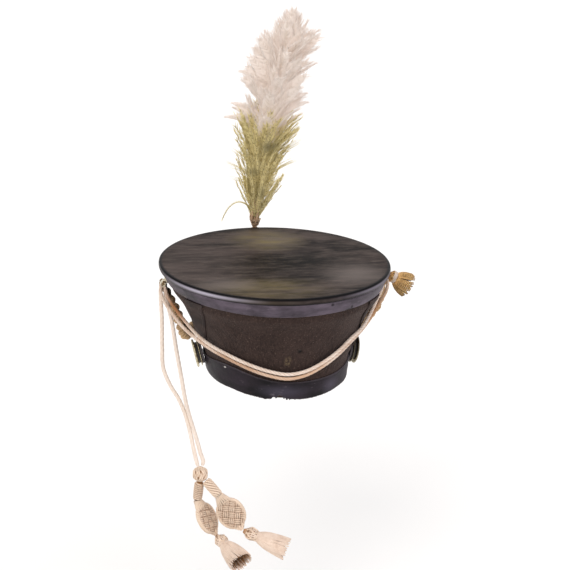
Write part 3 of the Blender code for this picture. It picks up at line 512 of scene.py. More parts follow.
def stitch_tree():
    """Tree that sets short raised stitches at even steps along a route."""
    tree = bpy.data.node_groups.new("Row of stitches", "GeometryNodeTree")
    names = tree_inputs(tree, (
        ("Geometry", "NodeSocketGeometry", None), ("Step", "NodeSocketFloat", 0.003),
        ("Stitch Length", "NodeSocketFloat", 0.002), ("Thread Radius", "NodeSocketFloat", 0.0003),
        ("Material", "NodeSocketMaterial", None)))
    given = node(tree, "NodeGroupInput")
    points = node(tree, "GeometryNodeCurveToPoints", {"Curve": given.outputs["Geometry"],
                                                      "Length": given.outputs["Step"]}, mode="LENGTH")
    ball = node(tree, "GeometryNodeMeshUVSphere", {"Segments": 6, "Rings": 5, "Radius": 1.0})
    half = node(tree, "ShaderNodeMath", {0: given.outputs["Stitch Length"], 1: 0.5}, operation="MULTIPLY")
    shape = node(tree, "ShaderNodeCombineXYZ", {0: given.outputs["Thread Radius"],
                                                1: given.outputs["Thread Radius"], 2: half.outputs[0]})
    placed = node(tree, "GeometryNodeInstanceOnPoints",
                  {"Points": points.outputs["Points"], "Instance": ball.outputs["Mesh"],
                   "Rotation": points.outputs["Rotation"], "Scale": shape.outputs[0]})
    real = node(tree, "GeometryNodeRealizeInstances", {"Geometry": placed.outputs[0]})
    soft = node(tree, "GeometryNodeSetShadeSmooth", {"Geometry": real.outputs[0]})
    dressed = node(tree, "GeometryNodeSetMaterial", {"Geometry": soft.outputs[0],
                                                     "Material": given.outputs["Material"]})
    node(tree, "NodeGroupOutput", {"Geometry": dressed.outputs[0]})
    return tree, names


TREES = {}


def run_tree(name, maker, paths, radii, values):
    """Runs a tree on routes and gives back the plain mesh object it makes."""
    if maker.__name__ not in TREES:
        TREES[maker.__name__] = maker()
    tree, names = TREES[maker.__name__]
    data = bpy.data.curves.new(name, "CURVE")
    data.dimensions = "3D"
    for path, radius in zip(paths, radii):
        spline = data.splines.new("POLY")
        spline.points.add(len(path) - 1)
        flat = np.ones((len(path), 4))
        flat[:, :3] = [tuple(p) for p in path]
        spline.points.foreach_set("co", flat.ravel())
        widths = radius if hasattr(radius, "__len__") else [radius] * len(path)
        spline.points.foreach_set("radius", np.array(widths, float))
    rough = bpy.data.objects.new(name + "_route", data)
    bpy.context.scene.collection.objects.link(rough)
    modifier = rough.modifiers.new("shape", "NODES")
    modifier.node_group = tree
    for word, value in values.items():
        modifier[names[word]] = value
    bpy.context.view_layer.update()
    graph = bpy.context.evaluated_depsgraph_get()
    mesh = bpy.data.meshes.new_from_object(rough.evaluated_get(graph), depsgraph=graph)
    mesh.name = name
    bpy.data.objects.remove(rough, do_unlink=True)
    piece = bpy.data.objects.new(name, mesh)
    bpy.context.scene.collection.objects.link(piece)
    return piece


def strands(name, paths, radii, mat, lobes=3.0, depth=0.2, pitch=0.01, ring=12):
    if not hasattr(radii, "__len__"):
        radii = [radii] * len(paths)
    return run_tree(name, strand_tree, paths, radii,
                    {"Lobes": float(lobes), "Lobe Depth": float(depth), "Twist Pitch": float(pitch),
                     "Ring Points": int(ring), "Material": mat})


def stitches(name, paths, mat, step=3.0 * MM, length=2.2 * MM, thread=0.32 * MM):
    return run_tree(name, stitch_tree, paths, [1.0] * len(paths),
                    {"Step": step, "Stitch Length": length, "Thread Radius": thread, "Material": mat})


def joined(name, pieces):
    """One piece out of several meshes, each keeping its own material."""
    target = pieces[0]
    with bpy.context.temp_override(active_object=target, object=target, selected_objects=pieces,
                                   selected_editable_objects=pieces):
        bpy.ops.object.join()
    target.name = name
    target.data.name = name
    return target


# Materials

def new_material(name, roughness, metallic=0.0, sheen=0.0, coat=0.0, sheen_tint=(1.0, 1.0, 1.0), shine=0.5):
    """A material with one shader, and the constants that are the same all over it."""
    mat = bpy.data.materials.new(name)
    mat.use_nodes = True
    tree = mat.node_tree
    tree.nodes.clear()
    shader = node(tree, "ShaderNodeBsdfPrincipled", {
        "Roughness": roughness, "Metallic": metallic, "Sheen Weight": sheen, "Sheen Roughness": 0.4,
        "Sheen Tint": sheen_tint, "Coat Weight": coat, "Coat Roughness": 0.3, "Specular IOR Level": shine})
    node(tree, "ShaderNodeOutputMaterial", {"Surface": shader.outputs[0]})
    return mat, tree, shader


def grain(tree, millimetres, detail=2.0, rough=0.5, low=0.35, high=0.65, stretch=(1.0, 1.0, 1.0)):
    """Cloudy marks of about this size, drawn out where the stretch is small, with opened contrast."""
    coords = node(tree, "ShaderNodeTexCoord")
    place = node(tree, "ShaderNodeMapping", {"Vector": coords.outputs["Object"], "Scale": stretch})
    noise = node(tree, "ShaderNodeTexNoise", {"Vector": place.outputs[0], "Scale": 1000.0 / millimetres,
                                              "Detail": detail, "Roughness": rough})
    return node(tree, "ShaderNodeMapRange", {0: noise.outputs[0], 1: low, 2: high, 3: 0.0, 4: 1.0}).outputs[0]


def patch(tree, centre, reach):
    """1 at a point of the piece, falling to 0 at the given distances along the axes."""
    coords = node(tree, "ShaderNodeTexCoord")
    away = node(tree, "ShaderNodeVectorMath", {0: coords.outputs["Object"], 1: centre}, operation="SUBTRACT")
    shares = node(tree, "ShaderNodeVectorMath", {0: away.outputs[0], 1: reach}, operation="DIVIDE")
    far = node(tree, "ShaderNodeVectorMath", {0: shares.outputs[0]}, operation="LENGTH")
    return node(tree, "ShaderNodeMapRange", {0: far.outputs["Value"], 1: 1.0, 2: 0.0, 3: 0.0, 4: 1.0},
                interpolation_type="SMOOTHSTEP").outputs[0]


def painted(tree, shader, first, coats):
    """Colour laid on in coats, each with its masks, its share and its colour."""
    for masks, share, code in coats:
        for mask in masks:
            share = node(tree, "ShaderNodeMath", {0: mask, 1: share}, operation="MULTIPLY",
                         use_clamp=True).outputs[0]
        first = node(tree, "ShaderNodeMix", {0: share, 6: first, 7: code}, data_type="RGBA").outputs[2]
    tree.links.new(first, shader.inputs["Base Color"])


def relief(tree, shader, layers):
    """Bumps on top of each other, each with its height, its depth in mm and its strength."""
    below = {}
    for height, millimetres, strength in layers:
        bump = node(tree, "ShaderNodeBump", {"Height": height, "Distance": millimetres * MM,
                                             "Strength": strength, **below})
        below = {"Normal": bump.outputs[0]}
    tree.links.new(below["Normal"], shader.inputs["Normal"])


def uneven_gloss(tree, shader, mask, low, high):
    spread = node(tree, "ShaderNodeMapRange", {0: mask, 1: 0.0, 2: 1.0, 3: low, 4: high})
    tree.links.new(spread.outputs[0], shader.inputs["Roughness"])


def worn_edges(tree, low, high):
    """1 on sharp outer edges (or in hollows, when low is above high), by the mesh's own shape."""
    shape = node(tree, "ShaderNodeNewGeometry")
    return node(tree, "ShaderNodeMapRange", {0: shape.outputs["Pointiness"], 1: low, 2: high, 3: 0.0,
                                             4: 1.0}).outputs[0]


def pressed_felt():
    """Wool felt: its fibres are pressed flat, so it is dull, with a faint nap, pale lint and moth pits, painted near
    black as the shade inside them.
    """
    crown = crown_settings()
    mat, tree, shader = new_material("pressed wool felt", 0.95, sheen=0.10, sheen_tint=(0.80, 0.66, 0.60), shine=0.2)
    cloud = grain(tree, 34.0, 3.0)
    fibre = grain(tree, 1.9, 3.0, 0.7, 0.3, 0.7)
    nap = grain(tree, 2.2, 2.0, 0.6, 0.3, 0.7, (1.0, 1.0, 0.16))
    lint = grain(tree, 1.4, 1.0, 0.5, 0.62, 0.74)
    smudge = patch(tree, (-0.0043, -0.1091, 0.0495), (0.006, 0.02, 0.010))
    # pit: a moth hole; its near-black coat is painted shade inside the hole, and it also sinks the bump
    pit = patch(tree, (0.0086, -0.1132, 0.0628), (0.0044, 0.02, 0.0036))
    dark, light = tuple(crown.felt_dark), tuple(crown.felt_light)
    painted(tree, shader, dark, (
        ((cloud,), 1.0, light), ((fibre,), 0.55, dark), ((grain(tree, 7.0, 3.0, 0.6, 0.50, 0.62),), 0.40, dark), ((nap,), 0.42, linear("#4A3A34")),
        ((lint,), 0.38, linear("#806B5F")), ((smudge, grain(tree, 3.0, 2.0, 0.5, 0.4, 0.6)), 0.5, linear("#8A7758")),
        ((pit,), 1.0, linear("#060505"))))
    deep = node(tree, "ShaderNodeMath", {0: 1.0, 1: pit}, operation="SUBTRACT")
    relief(tree, shader, ((fibre, 0.35, 0.9), (nap, 0.45, 0.7), (deep.outputs[0], 1.5, 1.0)))
    return mat


def waxed_top():
    """Waxed cowhide rubbed in long strokes, grey-brown where dry; its lighter patches and olive tint are painted sheen,
    its dark middle a painted dark reflection, and its rolled edge carries a painted dark reflection and a painted
    highlight.
    """
    crown = crown_settings()
    mat, tree, shader = new_material("waxed cowhide top", 0.46, coat=0.0, shine=0.06)
    broad = grain(tree, 26.0, 4.0, 0.6, 0.40, 0.62, (0.38, 1.0, 1.0))
    fine = grain(tree, 6.0, 4.0, 0.65, 0.45, 0.70, (0.25, 1.0, 1.0))
    # Blotches that break up the olive painted sheen
    sheen_blotches = grain(tree, 14.0, 3.0, 0.6, 0.25, 0.6, (0.3, 1.0, 1.0))
    # Painted light on the disc: left, front and far are lighter as painted sheen, bright is a painted highlight, middle
    # is darker as a painted dark reflection, and near and far carry the olive painted sheen
    left = patch(tree, (-0.105, -0.010, 0.136), (0.095, 0.150, 0.05))
    middle = patch(tree, (0.015, -0.008, 0.136), (0.115, 0.075, 0.05))
    bright = patch(tree, (0.080, -0.055, 0.136), (0.055, 0.060, 0.05))
    # The roll attribute paints the rolled edge near black as its dark reflection; the next attribute paints its
    # highlight, brightest where shine_left and shine_right reach
    roll = node(tree, "ShaderNodeAttribute", attribute_name="roll")
    rub = node(tree, "ShaderNodeAttribute", attribute_name="rub")
    near = patch(tree, (-0.026, -0.104, 0.136), (0.090, 0.056, 0.05))
    far = patch(tree, (0.000, 0.086, 0.136), (0.060, 0.058, 0.05))
    front = patch(tree, (-0.070, -0.085, 0.136), (0.050, 0.040, 0.05))
    shine_left = patch(tree, (-0.095, -0.090, 0.132), (0.080, 0.100, 0.050))
    shine_right = patch(tree, (0.100, -0.090, 0.132), (0.075, 0.100, 0.050))
    light = tuple(crown.top_light)
    painted(tree, shader, tuple(crown.top_dark), (
        ((broad,), 0.75, light), ((left,), 0.45, light), ((bright,), 0.50, linear("#857B76")), ((middle,), 0.97, linear("#100D0C")),
        ((near, sheen_blotches), 0.55, tuple(crown.top_olive_sheen)), ((far,), 0.50, linear("#7A706A")),
        ((far, sheen_blotches), 0.85, tuple(crown.top_olive_sheen)), ((front,), 0.35, linear("#857B76")),
        ((fine,), 0.30, linear("#756961")), ((roll.outputs["Fac"],), 1.0, linear("#0B090C")),
        ((rub.outputs["Fac"],), 0.04, linear("#6A6470")), ((rub.outputs["Fac"], shine_left), 1.0, linear("#B4AEBC")),
        ((rub.outputs["Fac"], shine_right), 0.9, linear("#77717C"))))
    dry = node(tree, "ShaderNodeMath", {0: roll.outputs["Fac"], 1: -0.22, 2: 0.50}, operation="MULTIPLY_ADD")
    tree.links.new(dry.outputs[0], shader.inputs["Roughness"])
    relief(tree, shader, ((broad, 0.5, 0.25), (grain(tree, 1.3), 0.06, 0.5)))
    return mat


def smooth_leather(name, roughness, scuffs, light=None, dark=None, edge=0.5, marks=(), coat=0.12, shine=0.5):
    """Blacked vegetable-tanned leather: a soft violet-grey sheen, rubbed pale on edges and scuffed."""
    crown = crown_settings()
    mat, tree, shader = new_material(name, roughness, coat=coat, shine=shine)
    cloud = grain(tree, 18.0, 4.0, 0.6, stretch=(0.35, 0.35, 1.0))
    scuff = grain(tree, 4.2, 5.0, 0.75, 0.60, 0.78, (0.35, 0.35, 1.0))
    painted(tree, shader, linear(dark) if dark else tuple(crown.band_dark), (
        ((cloud,), 1.0, linear(light) if light else tuple(crown.band_light)),
        ((scuff,), scuffs, linear("#8C8188")), ((worn_edges(tree, 0.52, 0.60),), edge, linear("#948A90")),
        *(((patch(tree, centre, reach),), share, linear(code)) for centre, reach, share, code in marks)))
    uneven_gloss(tree, shader, cloud, roughness - 0.06, roughness + 0.12)
    relief(tree, shader, ((grain(tree, 0.9), 0.05, 0.5), (grain(tree, 9.0, 3.0), 0.4, 0.35)))
    return mat


def aged_brass(name, bright, dull, marks=()):
    """Stamped brass: bright where it is handled, brown-black tarnish in its hollows."""
    mat, tree, shader = new_material(name, 0.34, metallic=1.0)
    tarnish = grain(tree, 3.2, 4.0, 0.65, 0.38, 0.62)
    painted(tree, shader, linear(bright), (
        ((tarnish,), 0.6, linear(dull)), ((worn_edges(tree, 0.50, 0.44),), 0.8, linear("#2A2015")),
        *(((patch(tree, centre, reach),), share, linear(code)) for centre, reach, share, code in marks)))
    uneven_gloss(tree, shader, tarnish, 0.26, 0.52)
    relief(tree, shader, ((grain(tree, 0.8), 0.05, 0.6),))
    return mat


def thread_cord(name, light, shade, threads, slope, crease=0.75, stain=0.35, marks=()):
    """Cotton threads laid side by side over a core: each a fine ridge, with random grime stains, and painted shade in
    the creases, in the grooves between threads and wherever the sunk attribute marks a point under the weave.

    The threads are about 0.4 mm, drawn a little coarser so that they show.
    """
    mat, tree, shader = new_material(name, 0.85, sheen=0.25, sheen_tint=(1.0, 0.93, 0.85))
    ring = node(tree, "ShaderNodeAttribute", attribute_name="ring")
    run = node(tree, "ShaderNodeAttribute", attribute_name="run")
    parts = node(tree, "ShaderNodeSeparateXYZ", {0: ring.outputs["Vector"]})
    turn = node(tree, "ShaderNodeMath", {0: parts.outputs[1], 1: parts.outputs[0]}, operation="ARCTAN2")
    around = node(tree, "ShaderNodeMath", {0: turn.outputs[0], 1: float(threads)}, operation="MULTIPLY")
    onward = node(tree, "ShaderNodeMath", {0: run.outputs["Fac"], 1: TAU * 1000.0 / slope},
                  operation="MULTIPLY")
    both = node(tree, "ShaderNodeMath", {0: around.outputs[0], 1: onward.outputs[0]}, operation="ADD")
    wave = node(tree, "ShaderNodeMath", {0: both.outputs[0]}, operation="SINE")
    ridge = node(tree, "ShaderNodeMapRange", {0: wave.outputs[0], 1: -1.0, 2: 1.0, 3: 0.0, 4: 1.0})
    # groove and valley darken the grooves between threads and the creases between lobes: painted shade
    groove = node(tree, "ShaderNodeMapRange", {0: ridge.outputs[0], 1: 0.35, 2: 0.0, 3: 0.0, 4: 1.0})
    valley = node(tree, "ShaderNodeMapRange", {0: parts.outputs[2], 1: 0.45, 2: 0.0, 3: 0.0, 4: 1.0})
    # sunk: painted shade where a strand lies under others
    sunk = node(tree, "ShaderNodeAttribute", attribute_name="sunk")
    painted(tree, shader, light, (
        ((grain(tree, 22.0, 3.0, 0.6),), stain, shade), ((valley.outputs[0],), crease, shade),
        ((groove.outputs[0],), 0.28, shade), *(((patch(tree, centre, reach),), share, linear(code))
                                               for centre, reach, share, code in marks),
        ((sunk.outputs["Fac"],), 0.90, tuple(f * c for f, c in zip((0.78, 0.56, 0.38), shade[:3])))))
    relief(tree, shader, ((ridge.outputs[0], 0.25, 0.7), (grain(tree, 0.8), 0.10, 0.5)))
    return mat


def loose_strands(name, tip, root, shift=0.45, mottled=0.35, roughness=0.8, through=0.0, clear=0.35, marks=()):
    """Feather barbs or loose threads: dark where they leave the quill or the knot, pale at their ends.

    A little light of their own stands for the light that comes through thin barbs from behind.
    """
    mat, tree, shader = new_material(name, roughness, sheen=0.2)
    shader.inputs["Emission Color"].default_value = (*tip, 1.0)
    shader.inputs["Emission Strength"].default_value = through
    share_of = node(tree, "ShaderNodeAttribute", attribute_name="share")
    light = node(tree, "ShaderNodeMapRange", {0: share_of.outputs["Fac"], 1: 0.0, 2: shift, 3: 0.0, 4: 1.0})
    hair = grain(tree, 1.1, 1.0)
    painted(tree, shader, root, (
        ((light.outputs[0],), 1.0, tip), ((grain(tree, 9.0, 3.0, 0.6, clear, clear + 0.3),), mottled, root), ((hair,), 0.15, root),
        *(((patch(tree, centre, reach),), share, linear(code)) for centre, reach, share, code in marks)))
    relief(tree, shader, ((hair, 0.10, 0.3),))
    return mat


def paper_sweep(code):
    """Matt white paper with the faintest grain."""
    mat, tree, shader = new_material("matt paper sweep", 0.9)
    painted(tree, shader, code, (((grain(tree, 3.0),), 0.06, linear("#EFEDEA")),))
    return mat


# Crown

def under_leather():
    crown = crown_settings()
    return crown.leather - PROUD + crown.seat


def felt_rows():
    """Lowest and highest level of the felt that no band covers."""
    crown = crown_settings()
    low = crown.base_band * 1.5 + 0.0055
    high = crown.height - crown.rim_roll - crown.top_band * 1.28 - crown.seat - 0.0045
    return low, high


def make_felt():
    crown = crown_settings()
    low, high = felt_rows()
    under = under_leather()
    bare = FELT_STEP - under
    top = crown.height - 0.0026 - crown.seat
    rows = [(0.0015, -under), (0.010, -under), (crown.base_band * 0.80, -under)]
    rows += [(low - 0.004 - 0.0035 * (1 - k / 3), -under) for k in range(3)]
    rows += [(low + (high - low) * k / 26, bare) for k in range(27)]
    rows += [(high + 0.004, -under), ((high + top) / 2 + 0.004, -under), (top, -under)]
    inner = [(h, -under - crown.felt_wall) for h in
             (top, top - 0.02, top - 0.04, 0.075, 0.055, 0.035, 0.015, 0.0015)]
    rng = np.random.default_rng(11)
    phase = rng.uniform(0, TAU, (6, 2))

    def shift(degrees, height, k):
        if k >= len(rows) or not low - 0.001 <= height <= high + 0.001:
            return 0.0, 0.0
        turn = math.radians(degrees)
        wave = sum(math.sin((5 + 4 * j) * turn + phase[j][0] + 70 * height * (1 + j % 3)) for j in range(6))
        return 0.0, 0.00009 * wave

    piece = ring_band("crown_body", rows + inner, pressed_felt(), shift)
    give(piece, "crown_body")


def top_plate(share, drop, degrees):
    crown = crown_settings()
    edge = wall_point(degrees, crown.height, 0.0)
    x = (edge.x - TOP_SHIFT) * share
    sag = 0.0012 * (1.0 - share ** 2)
    return Vector((x + TOP_SHIFT, edge.y * share, crown.height + TOP_LEAN * x - sag - drop))


def make_top(mat):
    crown = crown_settings()
    flats = [0.02, 0.15, 0.30, 0.45, 0.60, 0.72, 0.82, 0.90, 0.945, 0.968]
    # Share outwards, drop, painted dark reflection (near black) and painted highlight of the rolled edge
    roll = ((0.9780, 0.02, 0.8, 0.0), (0.9865, 0.03, 1.0, 0.0), (0.9925, 0.06, 1.0, 0.0), (0.9965, 0.13, 1.0, 0.0),
            (0.9990, 0.24, 0.9, 0.1), (1.0002, 0.38, 0.4, 0.9), (1.0004, 0.54, 0.2, 1.0), (0.9996, 0.70, 0.4, 0.6),
            (0.9975, 0.85, 0.6, 0.2), (0.9945, 0.96, 1.0, 0.0), (0.9915, 1.00, 1.0, 0.0))
    rng = np.random.default_rng(3)
    phase = rng.uniform(0, TAU, 8)

    def swell(share, turn):
        """Faint unevenness of the hide over the felt."""
        return 0.00035 * share * (math.sin(3 * turn + phase[0]) + 0.6 * math.sin(5 * turn + phase[1] + 4 * share)
                                  + 0.5 * math.sin(8 * turn + phase[2] - 6 * share))
    count = 240
    rings = []
    for share in flats:
        rings.append([top_plate(share, -swell(share, TAU * i / count) * (share < 0.95), 360.0 * i / count)
                      for i in range(count)])
    for share, drop, _, _ in roll:
        ring = []
        for i in range(count):
            turn = TAU * i / count
            pucker = 0.00009 * (math.sin(61 * turn + phase[3]) + math.sin(37 * turn + phase[4])) * (drop > 0.3)
            ring.append(top_plate(share + pucker, drop * crown.rim_roll, 360.0 * i / count))
        rings.append(ring)
    for height in (crown.height - crown.rim_roll, crown.height - 0.0026):
        rings.append([wall_point(360.0 * i / count, height, PROUD - crown.leather) for i in range(count)])
    rings.append([top_plate(0.70, 0.0026, 360.0 * i / count) for i in range(count)])
    piece = loft("crown_top", rings, mat, start=Vector((TOP_SHIFT, 0, crown.height - 0.0012)),
                 end=Vector((TOP_SHIFT, 0, crown.height - 0.0038)))
    first = len(flats)
    for word, k in (("roll", 2), ("rub", 3)):
        values = np.zeros(len(piece.data.vertices))
        for n, row in enumerate(roll):
            values[(first + n) * count:(first + n + 1) * count] = row[k]
        values[(first + len(roll)) * count:] = float(k == 2)
        piece.data.attributes.new(word, "FLOAT", "POINT").data.foreach_set("value", values)
    give(piece, "crown_top")


def band_section(low, high, wall, bulge):
    """Cross-section of a leather band with softened edges, as (height, proud) points."""
    tall = high - low
    outer = [(low + tall * s, PROUD + bulge * math.sin(math.pi * s) - edge) for s, edge in
             ((0.0, 0.0007), (0.03, 0.0002), (0.08, 0.0), (0.25, 0.0), (0.5, 0.0), (0.75, 0.0), (0.92, 0.0),
              (0.97, 0.0002), (1.0, 0.0007))]
    inner = [(low + tall * s, PROUD - wall) for s in (1.0, 0.5, 0.0)]
    return outer + inner


def make_bands(mat_top, mat_base):
    crown = crown_settings()
    upper = crown.height - crown.rim_roll - crown.seat
    lower = upper - crown.top_band
    rng = np.random.default_rng(17)
    ragged = rng.uniform(-1, 1, 720)

    def dip(degrees, height, k):
        share = 1.0 - (height - lower) / crown.top_band
        return -edge_move(BAND_DIPS, degrees) * 0.10 * crown.top_band * share ** 2, 0.0

    piece = ring_band("top_band", band_section(lower, upper, crown.leather, 0.0003), mat_top, dip)
    give(piece, "top_band")

    def worn(degrees, height, k):
        share = height / crown.base_band
        rise = edge_move(BAND_RISES, degrees) * 0.50 * crown.base_band * share ** 2
        i = int(degrees * 2) % 720
        frayed = 0.0007 * ragged[i] * (0.35 + 2.2 * math.exp(-(turn_between(degrees, 262.0) / 9.0) ** 2))
        bitten = 0.0016 * (turn_between(degrees, 257.5) < 1.3) + 0.0020 * (turn_between(degrees, 262.5) < 2.2)
        drop = (edge_move(WORN_EDGE, degrees) * crown.base_band - frayed - bitten) * (1.0 - share) ** 3
        crease = 0.00028 * math.sin(0.21 * degrees + 9 * share) * math.sin(math.pi * min(max(share, 0), 1))
        return rise - drop, crease * (k < 9)

    piece = ring_band("base_band", band_section(0.0, crown.base_band, crown.leather, 0.0002), mat_base, worn,
                      count=720)
    give(piece, "base_band")


def make_straps(mat, thread):
    crown = crown_settings()
    head = crown.height - crown.rim_roll - crown.top_band - 3 * crown.seat
    foot, _ = felt_rows()
    foot_half, head_half, arm_wide = 0.0330, 0.0880, 0.0260
    inner_proud = FELT_STEP - (crown.leather - PROUD) + 0.00008
    for name, side in (("strap_left", -1), ("strap_right", 1)):
        points, faces, edges = [], [], []
        rows, across = 30, 9
        levels = [foot + (head - foot) * r / rows for r in range(rows + 1)]

        def sides(height):
            share = (height - foot) / (head - foot)
            outside = foot_half + (head_half - foot_half) * share
            inside = (head_half - arm_wide) * max(0.0, (share - 0.10) / 0.90)
            return inside, outside

        def corner(y, height, proud):
            return wall_point(wall_degrees(y, height, side), height, proud)

        for arm in (1, -1):
            base = len(points)
            for height in levels:
                inside, outside = sides(height)
                for k in range(across + 1):
                    share = k / across
                    soft = 0.0005 * (share in (0.0, 1.0)) * (inside > 0 or share > 0)
                    y = arm * (inside + (outside - inside) * share)
                    points.append(corner(y, height, inner_proud + crown.strap - soft))
            layer = (rows + 1) * (across + 1)
            for height in levels:
                inside, outside = sides(height)
                for k in range(across + 1):
                    points.append(corner(arm * (inside + (outside - inside) * k / across), height, inner_proud))
            wide = across + 1
            for r in range(rows):
                for k in range(across):
                    a = base + r * wide + k
                    faces.append((a, a + 1, a + wide + 1, a + wide))
                    b = a + layer
                    faces.append((b, b + wide, b + wide + 1, b + 1))
                for k in (0, across):
                    a, b = base + r * wide + k, base + (r + 1) * wide + k
                    faces.append((a, b, b + layer, a + layer))
            for k in range(across):
                for r in (0, rows):
                    a = base + r * wide + k
                    faces.append((a, a + 1, a + 1 + layer, a + layer))
            edges.append([corner(arm * (sides(h)[1] - 0.0028), h, inner_proud + crown.strap + 0.0001)
                          for h in levels[1:-1]])
            edges.append([corner(arm * (sides(h)[0] + 0.0028), h, inner_proud + crown.strap + 0.0001)
                          for h in levels[6:-1]])
        mesh = mesh_piece(name, points, faces, mat)
        tidy = bmesh.new()
        tidy.from_mesh(mesh.data)
        bmesh.ops.remove_doubles(tidy, verts=tidy.verts[:], dist=0.00001)
        seen = {}
        for face in tidy.faces:
            seen.setdefault(frozenset(v.index for v in face.verts), []).append(face)
        twice = [face for same in seen.values() if len(same) > 1 for face in same]
        bmesh.ops.delete(tidy, geom=twice, context="FACES_ONLY")
        bmesh.ops.recalc_face_normals(tidy, faces=tidy.faces[:])
        tidy.to_mesh(mesh.data)
        tidy.free()
        sewn = stitches(name + "_stitches", edges, thread)
        give(joined(name, [mesh, sewn]), name)


def make_peak(mat, thread):
    columns, rows, half_angle = 97, 22, 67.5
    seat_height, reach, fall, thick = 0.0060, 0.0440, 0.0240, 0.0022
    crown = crown_settings()
    outer, inner, edge_row = [], [], []
    for i in range(columns):
        degrees = 90.0 - half_angle + 2 * half_angle * i / (columns - 1)
        share = math.sin(math.pi * (i + 2.4) / (columns + 3.8)) ** 0.62
        seat = wall_point(degrees, seat_height, PROUD + 1.3 * crown.seat)
        out = Vector((math.cos(math.radians(degrees)) * 0.75, math.sin(math.radians(degrees)), 0.0))
        for k in range(rows + 1):
            part = k / rows
            spot_ = seat + out * (reach * share * part) - Vector((0, 0, fall * share * part ** 1.15))
            bound = 0.0004 * math.exp(-((part - 0.97) / 0.035) ** 2)
            outer.append(spot_ + Vector((0, 0, bound - 0.0009 * (k == rows))))
            inner.append(spot_ - Vector((0, 0, thick + bound - 0.0009 * (k == rows))))
            if k == rows - 3:
                edge_row.append(spot_ + Vector((0, 0, 0.00025)))
    count = len(outer)
    wide = rows + 1
    faces = []
    for i in range(columns - 1):
        for k in range(rows):
            a = i * wide + k
            faces.append((a, a + 1, a + wide + 1, a + wide))
            faces.append((count + a, count + a + wide, count + a + wide + 1, count + a + 1))
        for k in (0, rows):
            a, b = i * wide + k, (i + 1) * wide + k
            faces.append((a, b, count + b, count + a))
    for i in (0, columns - 1):
        for k in range(rows):
            a = i * wide + k
            faces.append((a, a + 1, count + a + 1, count + a))
    leather = mesh_piece("peak", outer + inner, faces, mat)
    sewn = stitches("peak_stitches", [edge_row[3:-3]], thread)
    give(joined("peak", [leather, sewn]), "peak")


# Brass

def turned(name, centre, axis, hint, profile, mat, count=72, milled=0, end=None):
    """Turned form from (distance, radius, milled share) rows."""
    along, side, up = frame_at(axis, hint)
    rings = []
    for far, radius, mill in profile:
        ring = []
        for k in range(count):
            turn = TAU * k / count
            grow = radius * (1.0 + mill * math.cos(milled * turn))
            ring.append(centre + along * far + side * (grow * math.cos(turn)) + up * (grow * math.sin(turn)))
        rings.append(ring)
    tip = centre + along * end if end is not None else None
    return loft(name, rings, mat, end=tip)


def make_bosses(brass, backing):
    """Dished bosses with a rope-milled rim, each on a leather washer."""
    radius, depth, level = 0.0172, 0.0125, 0.0220
    for name, side in (("boss_left", -1), ("boss_right", 1)):
        low, high = (Vector(c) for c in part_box(name))
        degrees = 0.0 if side > 0 else 180.0
        along = wall_normal(degrees, level)
        if along.x * side < 0:
            along = -along
        middle = wall_point(degrees, level, 0.0)
        tilt = math.sqrt(1.0 - along.x ** 2)
        far = max(f * depth * abs(along.x) + r * radius * tilt for f, r in ((0.60, 1.0), (0.84, 0.94)))
        reach = high.x if side > 0 else -low.x
        start = middle + along * ((reach - side * middle.x - far) / abs(along.x))
        washer = turned(name + "_washer", start, along, (0, 0, 1), [
            (f * depth, r * radius, 0) for f, r in (
                (0.00, 0.78), (0.02, 0.81), (0.24, 0.81), (0.27, 0.74), (0.40, 0.74), (0.56, 0.76), (0.68, 0.72),
                (0.69, 0.20))], backing)
        flange = turned(name + "_flange", start, along, (0, 0, 1), [
            (f * depth, r * radius, 0) for f, r in (
                (0.27, 0.70), (0.27, 0.93), (0.29, 0.965), (0.325, 0.975), (0.355, 0.96), (0.37, 0.92),
                (0.37, 0.70))], brass, count=96)
        cup = turned(name + "_cup", start, along, (0, 0, 1), [
            (f * depth, r * radius, m) for f, r, m in (
                (0.60, 0.30, 0), (0.61, 0.90, 0), (0.63, 0.955, 0.006), (0.68, 0.995, 0.012), (0.74, 1.0, 0.012),
                (0.79, 0.975, 0.006), (0.82, 0.93, 0), (0.83, 0.88, 0), (0.80, 0.85, 0), (0.75, 0.83, 0),
                (0.69, 0.78, 0), (0.66, 0.70, 0), (0.65, 0.60, 0), (0.66, 0.52, 0), (0.70, 0.46, 0),
                (0.77, 0.40, 0.03), (0.81, 0.32, 0.06), (0.83, 0.22, 0.06), (0.845, 0.11, 0.03))],
                     brass, count=144, milled=24, end=0.85 * depth)
        give(joined(name, [washer, flange, cup]), name)


